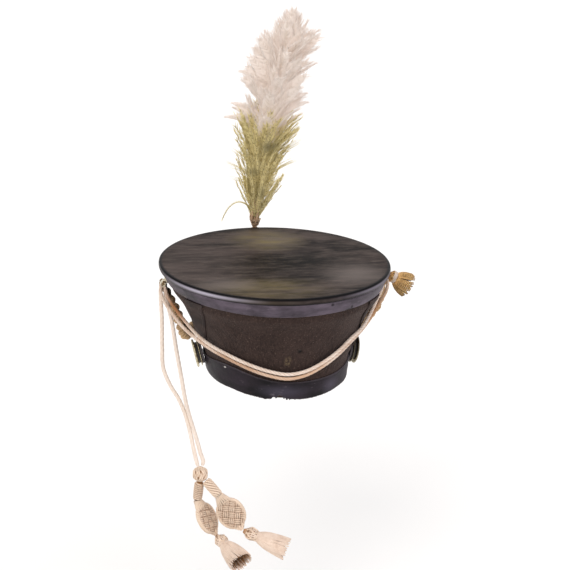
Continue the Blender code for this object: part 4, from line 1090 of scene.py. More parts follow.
def make_hooks(brass):
    reach, drop, wire = 0.0065, 0.0085, 0.0013
    crown = crown_settings()
    bend = ((0.10, 0.0), (0.35, 0.02), (0.62, 0.06), (0.86, 0.22), (1.00, 0.48), (0.97, 0.76), (0.78, 0.96),
            (0.50, 1.00), (0.28, 0.84), (0.22, 0.62))
    for name, side in (("hook_left", -1), ("hook_right", 1)):
        degrees = 0.0 if side > 0 else 180.0
        height = crown.height - 0.0210
        seat = wall_point(degrees, height, PROUD + crown.seat)
        normal = wall_normal(degrees, height)
        if normal.x * side < 0:
            normal = -normal
        plate = turned(name + "_plate", seat, normal, (0, 1, 0),
                       [(0.0, 0.0046, 0), (0.0006, 0.0047, 0), (0.0010, 0.0044, 0), (0.0013, 0.0036, 0),
                        (0.0018, 0.0022, 0), (0.0024, 0.0017, 0)], brass, count=40, end=0.0027)
        points = [seat + normal * 0.0010]
        points += [seat + Vector((side * a * reach, 0, -b * drop)) for a, b in bend]
        path, _ = smooth_route(points, 44)
        radii = [wire * (1.0 - 0.25 * max(0.0, (n / 44 - 0.8) / 0.2)) for n in range(45)]
        hook = strands(name + "_wire", [path], [radii], brass, lobes=2, depth=0.0, pitch=1.0, ring=16)
        ball, side_way, up = frame_at(path[-1] - path[-3], (0, 1, 0))
        knob = turned(name + "_knob", path[-1] - ball * 0.0008, ball, (0, 1, 0),
                      [(0.0, 0.0006, 0), (0.0004, 0.0012, 0), (0.0010, 0.0014, 0), (0.0016, 0.0012, 0)],
                      brass, count=24, end=0.0020)
        give(joined(name, [plate, hook, knob]), name)


def make_socket(brass):
    radius = plume_settings().socket
    crown = crown_settings()
    axis = socket_axis()
    high, tall, bore = crown.height - 0.0030, 0.0210, plume_settings().stem + 0.0004
    rows = [(0.0, 0.80), (0.02, 0.84), (0.70, 0.84), (0.73, 0.90), (0.78, 0.985), (0.82, 1.0), (0.86, 0.97),
            (0.90, 0.96), (0.94, 0.985), (0.975, 1.0), (1.0, 0.96)]
    rings = []
    count = 40
    low = high - tall
    pairs = [(low + tall * s, radius * r) for s, r in rows] + [(high, bore), (low + 0.2 * tall, bore), (low, bore)]
    for level, reach in pairs:
        rings.append([Vector((axis.x + reach * math.cos(TAU * k / count), axis.y + reach * math.sin(TAU * k / count),
                              level)) for k in range(count)])
    faces = []
    for i in range(len(rings)):
        after = (i + 1) % len(rings)
        for k in range(count):
            follow = (k + 1) % count
            faces.append((i * count + k, i * count + follow, after * count + follow, after * count + k))
    piece = mesh_piece("plume_socket", [p for ring in rings for p in ring], faces, brass)
    give(piece, "plume_socket")


# Plume

def socket_axis():
    edge = wall_point(91.2, crown_settings().height, crown_settings().seat + plume_settings().socket)
    return Vector((edge.x, edge.y, 0.0))


def plume_levels():
    """Levels of the foot, the change of colour and the tip."""
    plume = plume_settings()
    foot = crown_settings().height - 0.0030 + 0.0260
    return foot, foot + plume.green, foot + plume.green + plume.white


def plume_point(height):
    base = crown_settings().height
    length = plume_levels()[2] - base
    share = (height - base) / length
    shares = column(PLUME_AXIS, 0)
    axis = socket_axis()
    sideways = smooth_at(shares, column(PLUME_AXIS, 1), share) * length
    forward = smooth_at(shares, column(PLUME_AXIS, 2), share) * length
    width = smooth_at(shares, column(PLUME_AXIS, 3), share) * plume_settings().half
    return Vector((axis.x + sideways, axis.y + forward, height)), width


def barb_path(base, direction, bend, length, count):
    """A curve that starts one way and bends towards another."""
    points = [base.copy()]
    step = length / count
    for n in range(count):
        way = (direction * (1 - n / count) + bend * (n / count)).normalized()
        points.append(points[-1] + way * step)
    return points


def arc_between(root, tip, rise, count):
    """Curve from a root to a tip that leaves the root more steeply than the straight line."""
    lift = root.lerp(tip, 0.45) + (rise - (tip - root).normalized()) * ((tip - root).length * 0.30)
    return [root * (1 - s) ** 2 + lift * (2 * s * (1 - s)) + tip * s ** 2 for s in (n / count for n in range(count + 1))]


def feather(rng, quill, face, width, pairs, paths, radii, thick, wild, splay, close, blunt):
    """One feather: a quill and the barbs on both of its sides, in the plane that faces one way."""
    last = len(quill) - 1
    sides, ups = moving_frames(quill, face)
    paths.append(quill)
    radii.append([thick * 1.3 * (1.0 - 0.75 * n / last) for n in range(last + 1)])
    for k in range(pairs):
        share = 0.10 + 0.89 * (k + rng.random() * 0.6) / pairs
        at = share * last
        n = min(int(at), last - 1)
        spot = quill[n].lerp(quill[n + 1], at - n) + ups[n] * (thick * rng.choice((0.6, -0.6)))
        along = (quill[n + 1] - quill[n]).normalized()
        shape = math.sin(math.pi * min(1.0, 0.18 + blunt * share)) ** 0.6
        angle = math.radians(splay - close * share)
        for hand in (1, -1):
            jitter = Vector((rng.gauss(0, wild), rng.gauss(0, wild), rng.gauss(0, wild)))
            start = (along * math.cos(angle) + sides[n] * (hand * math.sin(angle)) + jitter * 0.6).normalized()
            after = (along + sides[n] * (hand * 0.45) - ups[n] * 0.10 + jitter).normalized()
            paths.append(barb_path(spot, start, after, width * shape * (0.75 + 0.45 * rng.random()), 3))
            radii.append([thick * f for f in (1.0, 0.95, 0.70, 0.20)])


def vane(rng, quill, half, points, faces, tips, face_way, pointed):
    """Thin closed leaf of a feather along its quill: cambered, ragged at its edge and rounded at its tip."""
    last = len(quill) - 1
    sides, ups = moving_frames(quill, face_way)
    base = len(points)
    across = (-1.0, -0.62, -0.22, 0.22, 0.62, 1.0)
    for face in (1, -1):
        for n, spot in enumerate(quill):
            share = n / last
            swell = min(share / 0.42, 1.0) ** 0.8
            close = math.sqrt(max(1.0 - max(0.0, (share - pointed) / (1.001 - pointed)) ** 2, 0.0))
            wide = half * swell * close * (1.0 - 0.14 * rng.random())
            for c in across:
                ragged = 1.0 - 0.10 * rng.random() * (abs(c) == 1.0)
                thin = 0.00012 * face * (abs(c) < 1.0) * (n < last)
                points.append(spot + sides[n] * (c * wide * ragged) - ups[n] * (0.14 * wide * c * c) + ups[n] * thin)
                tips.append(share)
    wide_row = len(across)
    layer = (last + 1) * wide_row
    for n in range(last):
        for c in range(wide_row - 1):
            a = base + n * wide_row + c
            faces.append((a, a + 1, a + wide_row + 1, a + wide_row))
            b = a + layer
            faces.append((b, b + wide_row, b + wide_row + 1, b + 1))
        for c in (0, wide_row - 1):
            a, b = base + n * wide_row + c, base + (n + 1) * wide_row + c
            faces.append((a, b, b + layer, a + layer))
    for n in (0, last):
        for c in range(wide_row - 1):
            a = base + n * wide_row + c
            faces.append((a, a + 1, a + 1 + layer, a + layer))


def vanes_piece(name, points, faces, tips, mat):
    piece = mesh_piece(name, points, faces, mat)
    piece.data.attributes.new("share", "FLOAT", "POINT").data.foreach_set("value", tips)
    return piece


def make_stem(mats):
    """Reddish quills bound side by side, opening out where the hackles start."""
    foot, _, _ = plume_levels()
    top = crown_settings().height
    paths, radii = [], []
    count = 14
    low = top - 0.0200
    for k in range(11):
        turn = TAU * k / 11
        line = []
        for n in range(count + 1):
            height = low + (foot + 0.012 - low) * n / count
            centre, _ = plume_point(max(height, top))
            open_ = min(max((height - top + 0.001) / 0.008, 0.0), 1.0)
            spread = 0.0024 + 0.0044 * open_
            if k < 6:
                spread *= 0.5
            line.append(Vector((centre.x + spread * math.cos(turn * 1.7 + 9 * height),
                                centre.y + spread * math.sin(turn * 1.7 + 9 * height), height)))
        paths.append(line)
        radii.append([0.0010 + 0.0006 * (n > 7) - 0.0008 * max(0.0, (n / count - 0.8) / 0.2) for n in range(count + 1)])
    quills = strands("plume_stem_quills", paths, radii, mats["quill"], lobes=2, depth=0.05, pitch=0.02, ring=8)
    bound = []
    for n in range(97):
        height = top + 0.0004 + 0.0090 * n / 96
        centre, _ = plume_point(height)
        wide = 0.0040 + 0.0026 * n / 96
        bound.append(Vector((centre.x + wide * math.cos(TAU * 9 * n / 96), centre.y + wide * math.sin(TAU * 9 * n / 96),
                             height)))
    thread = strands("plume_stem_thread", [bound], [[0.0006] * 97], mats["thread"], lobes=2, depth=0.15,
                     pitch=0.002, ring=6)
    give(joined("plume_stem", [quills, thread]), "plume_stem")


def tier(rng, tips, roots, many, reach, width, pairs, paths, radii, thick, wild, splay, close, blunt, rise,
         leaves, half, pointed):
    """A whorl of feathers whose tips lie on the plume's outline."""
    for k in range(many):
        turn = TAU * 0.381966 * k + rng.uniform(-0.2, 0.2)
        side = Vector((math.cos(turn), math.sin(turn) * 0.9, 0.0))
        level = tips[0] + (tips[1] - tips[0]) * rng.random()
        centre, wide = plume_point(level)
        inside = math.sqrt(rng.uniform(0.20, 1.0)) if k % 3 else 1.0
        tip = centre + side * (wide * reach * inside) + Vector((0, 0, rng.uniform(-0.002, 0.003)))
        low, thin = plume_point(max(level - rng.uniform(roots[0], roots[1]), plume_levels()[0] - 0.016))
        root = low + side * min(0.0035, thin * 0.4)
        quill = arc_between(root, tip, Vector((side.x * rise, side.y * rise, 1.0)).normalized(), 8)
        face = (side + Vector((rng.gauss(0, 0.35), rng.gauss(0, 0.35), rng.gauss(0, 0.2)))).normalized()
        feather(rng, quill, face, width * rng.uniform(0.85, 1.15), pairs, paths, radii, thick, wild, splay, close,
                blunt)
        vane(rng, quill, half * rng.uniform(0.8, 1.1), *leaves, face, pointed)


def wisps(rng, rows, paths, radii, thick):
    """Loose pointed tips that stand out of the outline: root level, turn, rise and length."""
    for level, turn_deg, rise, long_, many in rows:
        for n in range(many):
            turn = math.radians(turn_deg + rng.uniform(-9, 9))
            side = Vector((math.cos(turn), math.sin(turn), 0.0))
            centre, wide = plume_point(level + rng.uniform(-0.003, 0.003))
            way = (side + Vector((0, 0, rise + 0.6))).normalized()
            lean = (side + Vector((0, 0, rise + rng.uniform(-0.12, 0.12)))).normalized()
            paths.append(barb_path(centre + side * (wide * 0.25), way, lean, long_ * rng.uniform(0.80, 1.03), 7))
            radii.append([thick * (1.0 - 0.85 * m / 7) for m in range(8)])


def make_green(mats):
    """Olive hackles in three whorls, dark at their roots."""
    foot, change, tip = plume_levels()
    rng = random.Random(29)
    paths, radii, leaves = [], [], ([], [], [])
    for tips, roots, many, reach, width in (
            ((foot + 0.030, foot + 0.062), (0.040, 0.062), 46, 0.98, 0.0085),
            ((foot + 0.058, foot + 0.088), (0.040, 0.058), 46, 0.95, 0.0085),
            ((foot + 0.096, foot + 0.133), (0.042, 0.060), 104, 1.02, 0.0115)):
        tier(rng, tips, roots, many, reach, width, 15, paths, radii, 0.00052, 0.14, 40.0, 18.0, 0.66, 0.45,
             leaves, 0.0016, 0.30)
    wisps(rng, ((foot + 0.040, 182, 0.30, 0.044, 8), (foot + 0.052, 180, 0.62, 0.040, 8),
                (foot + 0.030, 180, 0.10, 0.034, 6), (foot + 0.054, 2, 0.46, 0.056, 16), (foot + 0.060, 0, 0.80, 0.058, 12),
                (foot + 0.040, 4, 0.30, 0.050, 14), (foot + 0.070, -2, 0.55, 0.052, 14),
                (foot + 0.022, 0, 0.50, 0.036, 7), (foot + 0.012, 2, 0.75, 0.034, 6),
                (foot + 0.070, 180, 0.85, 0.036, 7)), paths, radii, 0.00055)
    axis = socket_axis()
    line, _ = smooth_route([Vector((axis.x + x, axis.y + y, foot + z)) for x, y, z in (
        (-0.004, 0.0, -0.006), (-0.012, -0.002, 0.006), (-0.023, -0.004, 0.010), (-0.033, -0.006, 0.005),
        (-0.040, -0.007, -0.005), (-0.044, -0.008, -0.014))], 18)
    paths.append(line)
    radii.append([0.0010 * (1.0 - 0.7 * m / 18) for m in range(19)])
    for m in range(3, 17):
        along = (line[m + 1] - line[m]).normalized()
        paths.append(barb_path(line[m], along + Vector((0, 0, 0.4)), along, 0.007, 3))
        radii.append([0.0005, 0.0004, 0.0003, 0.0001])
    barbs = strands("plume_green", paths, radii, mats["green"], lobes=2, depth=0.1, pitch=1.0, ring=3)
    give(joined("plume_green", [barbs, vanes_piece("green_vanes", *leaves, mats["green"])]),
         "plume_green")


def make_white(mats):
    """Broad soft white feathers with rounded ends, and pointed side tips low down."""
    foot, change, tip = plume_levels()
    rng = random.Random(31)
    paths, radii, leaves = [], [], ([], [], [])
    for tips, many, reach in (((change + 0.002, change + 0.024), 19, 0.97), ((change + 0.018, change + 0.050), 19, 0.96),
                              ((change + 0.045, change + 0.078), 19, 0.97), ((change + 0.072, change + 0.104), 19, 0.97),
                              ((change + 0.098, tip + 0.004), 30, 1.00)):
        tier(rng, tips, (0.036, 0.050), many, reach, 0.0180, 31, paths, radii, 0.00052, 0.12, 50.0, 22.0, 0.74, 0.35,
             leaves, 0.0105, 0.45)
    for level, turn_deg, rise, length, broad in (
            (-0.012, 181, 0.12, 0.050, 0), (-0.002, 176, 0.35, 0.046, 0), (-0.004, 2, 0.34, 0.052, 0),
            (0.010, -4, 0.36, 0.046, 0), (0.040, 179, 0.30, 0.046, 0), (0.024, 184, 0.55, 0.042, 0),
            (-0.010, 186, 0.50, 0.046, 0), (0.002, 8, 0.62, 0.046, 0), (0.018, 182, 0.95, 0.046, 1),
            (0.030, 178, 1.05, 0.046, 1), (0.040, 183, 1.15, 0.047, 1), (0.052, 179, 1.25, 0.045, 1),
            (0.062, 184, 1.45, 0.045, 1), (0.030, -3, 1.25, 0.044, 1)):
        turn = math.radians(turn_deg)
        side = Vector((math.cos(turn), math.sin(turn), 0.0))
        centre, _ = plume_point(change + level)
        quill = barb_path(centre + side * 0.006, (side + Vector((0, 0, rise + 0.5))).normalized(),
                          (side + Vector((0, 0, rise - 0.2))).normalized(), length, 8)
        face = Vector((0, -1, 0.3))
        feather(rng, quill, face, 0.0160 if broad else 0.0090, 24, paths, radii, 0.0005, 0.09,
                46.0 if broad else 34.0, 20.0, 0.76)
        vane(rng, quill, 0.0090 if broad else 0.0046, *leaves, face, 0.45 if broad else 0.25)
    barbs = strands("plume_white", paths, radii, mats["white"], lobes=2, depth=0.1, pitch=1.0, ring=3)
    give(joined("plume_white", [barbs, vanes_piece("white_vanes", *leaves, mats["white"])]),
         "plume_white")


def make_plume(mats):
    make_stem(mats)
    make_green(mats)
    make_white(mats)


# Cords, knots and tassels


def cord_material(name, light, shade, threads, slope, crease=0.75, stain=0.35, marks=()):
    cords = cord_settings()
    return thread_cord(name, tuple(getattr(cords, light)), tuple(getattr(cords, shade)), threads, slope,
                       crease, stain, marks)


def sink(piece, depth_under, reach):
    """Stores how deep each point of a woven piece lies under its skin, from 0 to 1, for the painted shade of strands
    that lie under others.
    """
    places = np.empty(len(piece.data.vertices) * 3)
    piece.data.vertices.foreach_get("co", places)
    values = np.clip(depth_under(places.reshape(-1, 3)) / reach, 0.0, 1.0)
    piece.data.attributes.new("sunk", "FLOAT", "POINT").data.foreach_set("value", values)


def make_cords():
    """Two cords swagged across the back, and the two lines that hang from the left hook."""
    cords = cord_settings()
    # Brown marks on the back cords are painted shade: near the left hook on the upper cord, and along the lower cord
    # where it lies under and behind the upper one
    back = cord_material("twisted cotton cord", "cream", "cream_shade", 9, 5.0, 0.55, 0.28,
                         (((-0.1260, -0.0200, 0.0850), (0.030, 0.040, 0.045), 0.95, "#A86C38"),))
    painted_shade_lower = cord_material("twisted cotton cord, tanned", "cream", "cream_shade", 9, 5.0, 0.60, 0.45,
                           (((0.0100, -0.1200, 0.0100), (0.090, 0.070, 0.060), 0.80, "#C08A56"),
                            ((-0.0650, -0.0850, 0.0360), (0.055, 0.060, 0.040), 0.70, "#A8733F"),
                            ((0.1150, -0.0300, 0.0780), (0.070, 0.070, 0.050), 0.85, "#B07E4A")))
    line = cord_material("braided cotton line", "cream", "line_shade", 8, 7.0, 0.25, 0.15)
    for name, route, wide, mat, slot, pitch in (
            ("cord_back_upper", BACK_UPPER_ROUTE, cords.back, back, "cream_cord", 0.016),
            ("cord_back_lower", BACK_LOWER_ROUTE, cords.back, painted_shade_lower, "cream_cord", 0.016),
            ("line_left", LEFT_LINE_ROUTE, cords.line, line, "line_cord", 0.020),
            ("line_right", RIGHT_LINE_ROUTE, cords.line, line, "line_cord", 0.020)):
        count = 260
        path, length = smooth_route(route, count)
        ends = [min(1.0, 0.72 + 0.07 * min(n, count - n)) for n in range(count + 1)]
        radii = [wide / 2 * 1.02 * e for e in ends]
        piece = strands(name, [path], [radii], mat, lobes=3, depth=0.11, pitch=pitch, ring=24)
        give(piece, name)


def make_plait(mat):
    """Three cords plaited round the front."""
    cords = cord_settings()
    count = 420
    path, length = smooth_route(PLAIT_ROUTE, count)
    paths, radii = [], []
    pitch = 0.036
    sides, ups = [], []
    for spot in path:
        spot.x += 0.0050 * math.exp(-((spot.z - 0.076) / 0.020) ** 2) * (spot.x > 0.05)
    for n, spot in enumerate(path):
        along = (path[min(n + 1, count)] - path[max(n - 1, 0)]).normalized()
        outward = Vector((spot.x, spot.y, 0.0)).normalized()
        _, side, up = frame_at(along, outward)
        sides.append(side)
        ups.append(up)
    thread = 0.0037
    wide = cords.plait_width / 2 - thread
    deep = cords.plait_thick / 2 - thread
    for k in range(3):
        line, radius = [], []
        for n, spot in enumerate(path):
            close = min(1.0, 0.42 + 0.014 * min(n, count - n))
            phase = TAU * (length * n / count / pitch + k / 3)
            line.append(spot + sides[n] * (wide * close * math.cos(phase))
                        + ups[n] * (0.0008 + deep * 1.6 * close * math.sin(2 * phase)))
            radius.append(thread * 1.06 * (0.65 + 0.35 * close))
        paths.append(line)
        radii.append(radius)
    piece = strands("plait_front", paths, radii, mat, lobes=4, depth=0.20, pitch=0.014, ring=24)
    give(piece, "plait_front")


def make_slide_knot(mat, core_mat):
    """Turk's head of a doubled cord over a small core."""
    radius = cord_settings().knot
    centre = Vector(KNOT_CENTRE)
    along, side, up = frame_at((0.0, 0.25, 0.97), (1, 0, 0))
    thread = 0.00122
    paths = []
    leads, bights, count = 5, 7, 640
    for pair in (-1, 1):
        line = []
        for n in range(count + 1):
            turn = TAU * leads * n / count
            phase = bights * turn / leads
            slope = 1.26 * math.sin(math.pi / 2 * math.cos(phase))
            climb = -1.26 * math.cos(math.pi / 2 * math.cos(phase)) * math.pi / 2 * math.sin(phase) * bights / leads
            level = math.cos(slope)
            beside = pair * thread * 1.02 / (radius * math.hypot(climb, level))
            out = radius - thread * 1.5 + thread * 0.9 * math.sin(4 * phase)
            turn += beside * climb / level
            slope -= beside * level
            line.append(centre + along * (0.93 * out * math.sin(slope))
                        + (side * math.cos(turn) + up * math.sin(turn)) * (out * math.cos(slope)))
        paths.append(line)
    wound = strands("slide_knot_cord", paths, [[thread] * (count + 1)] * 2, mat, lobes=3, depth=0.15,
                    pitch=0.006, ring=9)
    frame_rows = np.array([tuple(along / 0.93), tuple(side), tuple(up)])
    sink(wound, lambda places: radius - 0.0004 - np.linalg.norm((places - np.array(centre)) @ frame_rows.T, axis=1),
         0.0024)
    rings = []
    for n in range(1, 14):
        slope = math.pi * n / 14
        rings.append([centre + along * (-math.cos(slope) * radius * 0.78)
                      + (side * math.cos(TAU * k / 24) + up * math.sin(TAU * k / 24))
                      * (math.sin(slope) * (radius - 1.9 * thread)) for k in range(24)])
    core = loft("slide_knot_core", rings, core_mat, start=centre - along * (radius * 0.80),
                end=centre + along * (radius * 0.80))
    give(joined("slide_knot", [wound, core]), "slide_knot")


def make_collar(word, at, down, mat, core_mat, slanted):
    """Cord wound round the line, between two short bare lengths."""
    cords = cord_settings()
    along, side, up = frame_at(down, (0, 1, 0.1))
    neck, length, radius = cords.neck, cords.collar_length, cords.collar_radius
    thread = 0.00116
    total = 2 * neck + length

    def barrel(far):
        """Radius of the wound form, rounded at its ends."""
        first, last = min(far / 0.0050, 1.0), min((total - far) / 0.0034, 1.0)
        return radius * min(0.42 + 0.58 * math.sqrt(1 - (1 - first) ** 2), 0.66 + 0.34 * math.sqrt(1 - (1 - last) ** 2),
                            0.95 + 0.05 * math.sin(math.pi * far / total))

    paths = []
    starts, turns, rows = (9, 0.55, 40) if slanted else (2, 4.6, 110)
    for k in range(starts):
        line = []
        for n in range(rows + 1):
            share = n / rows
            far = thread + (total + 0.0009 - 2 * thread) * share
            turn = TAU * (k / starts + turns * share)
            line.append(at + along * far + (side * math.cos(turn) + up * math.sin(turn)) * (barrel(far) - thread))
        paths.append(line)
    wound = strands("collar_cord", paths, [[thread * (1.12 if slanted else 1.0)] * len(p) for p in paths], mat,
                    lobes=3, depth=0.16, pitch=0.005, ring=9)
    levels = np.linspace(0.0, total, 60)
    reaches = np.array([barrel(far) for far in levels])

    def depth_under(places):
        away = places - np.array(at)
        far = away @ np.array(along)
        return np.interp(far, levels, reaches) - np.linalg.norm(away - np.outer(far, np.array(along)), axis=1)

    sink(wound, lambda places: depth_under(places) - 0.0003, 0.0011)
    rings = [[at + along * far + (side * math.cos(TAU * k / 24) + up * math.sin(TAU * k / 24))
              * (barrel(far) - 1.7 * thread) for k in range(24)] for far in
             (0.0004, 0.001, 0.002, 0.0035, 0.005, total * 0.5, total - 0.0025, total - 0.001, total - 0.0004)]
    core = loft("collar_core", rings, core_mat)
    give(joined("collar_" + word, [wound, core]), "collar_" + word)
    return at + along * (2 * neck + length + 0.0024 * 0.4)


PAD_SHAPE = ((0.0, 0.06, 0.24), (0.02, 0.10, 0.30), (0.05, 0.16, 0.46), (0.12, 0.24, 0.60), (0.20, 0.62, 0.84),
             (0.32, 0.90, 0.98), (0.46, 1.00, 1.00), (0.58, 0.99, 0.96), (0.70, 0.88, 0.98), (0.80, 0.66, 0.88),
             (0.88, 0.36, 0.66), (0.95, 0.20, 0.50), (0.985, 0.12, 0.34), (1.0, 0.08, 0.26))


def make_flounder(word, start, before, lie, face, mat, core_mat, slant):
    """Pad woven of bands of three cords over and under each other, with a twisted edge round it."""
    cords = cord_settings()
    along, side, up = frame_at(lie, face)
    long_, wide, deep = cords.flounder_length, cords.flounder_width / 2, cords.flounder_thick / 2
    shares = column(PAD_SHAPE, 0)
    thread = 0.00106
    low, high = 0.15 * long_, 0.93 * long_
    step = 0.0072
    swell = 2.1 * thread

    def half(share):
        return wide * smooth_at(shares, column(PAD_SHAPE, 1), share)

    def thick(share):
        return deep * smooth_at(shares, column(PAD_SHAPE, 2), share)

    def surface(far, across, inset):
        share = min(max(far / long_, 0.0), 1.0)
        edge = min(abs(across) / max(half(share), 0.0001), 1.0)
        return thick(share) * math.sqrt(max(1.0 - edge ** 3.0, 0.0)) - inset

    paths, radii = [], []
    turn_u, turn_v = math.radians(slant), math.radians(slant + 90.0)
    for front in (1, -1):
        for family in (1, -1):
            way = turn_u if family > 0 else turn_v
            for band in range(-6, 7):
                for member in (-1, 0, 1):
                    off = band * step + member * thread * 2.06
                    piece = []
                    for n in range(-56, 57):
                        v = n * step / 12
                        over = math.cos(math.pi * v / step) * (1 if band % 2 else -1) * family
                        over = math.copysign(abs(over) ** 0.6, over)
                        far = (low + high) / 2 + v * math.cos(way) - off * math.sin(way)
                        across = v * math.sin(way) + off * math.cos(way)
                        inside = low < far < high and abs(across) < half(far / long_) - 1.2 * thread
                        if inside:
                            lift = surface(far, across, thread * 1.15 + swell * 0.5) + swell * 0.5 * over
                            piece.append(start + along * far + side * across + up * (front * max(lift, 0.0004)))
                        if not inside or n == 56:
                            if len(piece) > 4:
                                paths.append(piece)
                                radii.append([thread] * len(piece))
                            piece = []
    outline = [(low + (high - low) * n / 60, 1) for n in range(61)] + \
              [(high - (high - low) * n / 60, -1) for n in range(61)]
    for k in range(3):
        line = []
        for n, (far, hand) in enumerate(outline):
            turn = TAU * (n / 11.0 + k / 3)
            across = hand * (half(far / long_) - 1.5 * thread + 0.95 * thread * math.cos(turn))
            line.append(start + along * far + side * across + up * (0.0017 * math.sin(turn)))
        paths.append(line + [line[0]])
        radii.append([thread * 1.15] * (len(line) + 1))
    # Bare cords above the pad, spread from the collar's end, and gathered ones below it
    for first, last, many, spread, rest in ((0.0, low * 1.5, 18, (0.0042, 0.0034), (0.0095, 0.0030)),
                                            (long_ - 0.0008, high - 0.003, 6, (0.0013, 0.0010), (0.0040, 0.0020))):
        for k in range(many):
            turn = TAU * (k + 0.5) / many
            begin = side * (math.cos(turn) * spread[0]) + up * (math.sin(turn) * spread[1])
            if first == 0.0:
                begin += along * (max(0.0002 - begin.dot(before) / along.dot(before), 0.0002) - 0.0010)
            line = []
            for n in range(9):
                share = (n / 8) ** 1.3
                end = side * (math.cos(turn) * rest[0]) + up * (math.sin(turn) * rest[1])
                line.append(start + along * first + begin.lerp(end + along * (last - first), n / 8)
                            + up * (math.sin(turn) * 0.0008 * math.sin(math.pi * share)))
            paths.append(line)
            radii.append([thread * 1.12] * 9)
    woven = strands("flounder_cord", paths, radii, mat, lobes=3, depth=0.14, pitch=0.005, ring=7)
    shares_fine = np.linspace(0.0, 1.0, 80)
    halves = np.array([max(half(s), 0.0001) for s in shares_fine])
    thicks = np.array([thick(s) for s in shares_fine])

    def depth_under(places):
        away = places - np.array(start)
        share = away @ np.array(along) / long_
        edge = np.clip(np.abs(away @ np.array(side)) / np.interp(share, shares_fine, halves), 0.0, 1.0)
        skin = np.interp(share, shares_fine, thicks) * np.sqrt(1.0 - edge ** 3)
        return np.where((share > 0.17) & (share < 0.95), skin - np.abs(away @ np.array(up)), 0.0)

    sink(woven, lambda places: depth_under(places) - 0.25 * thread, 2.3 * thread)
    rings = []
    for n in range(25):
        far = low * 0.9 + (high - low * 0.85) * n / 24
        ring = []
        for k in range(28):
            turn = TAU * k / 28
            across = math.cos(turn) * max(half(min(far / long_, 1.0)) - 1.6 * thread, 0.0004)
            rise = max(surface(far, across, thread * 1.9 + swell), 0.0003) * min(abs(math.sin(turn)) * 1.6, 1.0)
            ring.append(start + along * far + side * across + up * math.copysign(rise, math.sin(turn)))
        rings.append(ring)
    core = loft("flounder_core", rings, core_mat)
    give(joined("flounder_" + word, [woven, core]), "flounder_" + word)
    return start + along * long_


TASSEL_SHAPE = ((0.015, 0.26, 0), (0.05, 0.34, 0), (0.09, 0.66, 0), (0.15, 0.96, 0), (0.21, 1.00, 0),
                (0.27, 0.88, 0), (0.31, 0.80, 0), (0.38, 0.24, 1), (0.52, 0.58, 1), (0.68, 0.78, 1),
                (0.84, 0.92, 1), (0.98, 1.00, 1))


def make_tassel(name, start, fall, length, head, skirt, flat, mats, seed, threads=210, neck=0.0,
                thread=0.00062, bands=()):
    """Knotted head and a bell of threads that hang from it; the inner threads and the core take the darker second
    material, painted shade inside the bell.
    """
    along, side, up = frame_at(fall, (0, 0, 1))
    rng = random.Random(seed)
    shares = [(neck + (1 - neck) * row[0]) if row[0] > 0.02 else row[0] for row in TASSEL_SHAPE]
    base = head * 0.80
    reaches = [row[1] * head if not row[2] else base + row[1] * max(skirt - base, 0.0) for row in TASSEL_SHAPE]

    def at(share, turn, inset, low):
        radius = smooth_at(shares, reaches, share) * inset
        return start + along * (share * length) + side * (radius * math.cos(turn)) \
            + up * (radius * (1.0 if share < 0.3 else low) * math.sin(turn))

    outer, inner, wide_outer, wide_inner = [], [], [], []
    clumps = [rng.uniform(0, TAU) for _ in range(15)]
    for k in range(threads):
        inside = k % 4 == 0
        turn = TAU * (k + rng.random()) / threads * 4.0
        near = min(clumps, key=lambda c: abs((turn - c + math.pi) % TAU - math.pi))
        pull = ((near - turn + math.pi) % TAU - math.pi) * 0.10
        end = rng.uniform(0.90, 1.0) if not inside else rng.uniform(0.80, 0.96)
        inset = rng.uniform(0.90, 0.965) if not inside else rng.uniform(0.45, 0.82)
        wave, phase = rng.uniform(0.01, 0.045), rng.uniform(0, TAU)
        line = []
        count = 16
        for n in range(count + 1):
            share = 0.015 + (end - 0.015) * n / count
            deep = inset if share > 0.34 else 0.93
            sway = pull * max(0.0, (share - 0.35)) / 0.65 + wave * math.sin(phase + 9 * share) * (share > 0.35)
            line.append(at(share, turn + sway + 0.5 * share, deep, flat))
        widths = [thread * (0.9 if n < count else 0.75) for n in range(count + 1)]
        (inner if inside else outer).append(line)
        (wide_inner if inside else wide_outer).append(widths)
    pieces = [strands(name + "_outer", outer, wide_outer, mats[0], lobes=2, depth=0.15, pitch=0.004, ring=5),
              strands(name + "_inner", inner, wide_inner, mats[1], lobes=2, depth=0.15, pitch=0.004, ring=5)]
    # knotted cords of the head, wound and crossed
    winds = []
    for k in range(6):
        line = []
        for n in range(49):
            share = neck + (1 - neck) * (0.075 + 0.235 * (0.5 - 0.5 * math.cos(TAU * n / 48)))
            turn = TAU * (k / 6 + 0.42 * n / 48)
            radius = smooth_at(shares, reaches, share) - 0.0004
            radius += 0.0005 * math.sin(TAU * n / 16 + k)
            line.append(start + along * (share * length) + side * (radius * math.cos(turn))
                        + up * (radius * math.sin(turn)))
        winds.append(line)
    pieces.append(strands(name + "_head", winds, [[0.0009] * 49] * 6, mats[2], lobes=3, depth=0.12, pitch=0.005,
                          ring=7))
    for word, mat, levels in (("_knot", mats[2], (0.02, 0.06, 0.10, 0.16, 0.22, 0.28)),
                              ("_core", mats[1], (0.285, 0.34, 0.45, 0.60))):
        rings = []
        for share in levels:
            share = neck + (1 - neck) * share if share > 0.02 else share
            rings.append([at(share, TAU * k / 20, 0.84 if share < 0.34 else 0.55, flat) for k in range(20)])
        pieces.append(loft(name + word, rings, mat))
    give(joined(name, pieces + list(bands)), name)


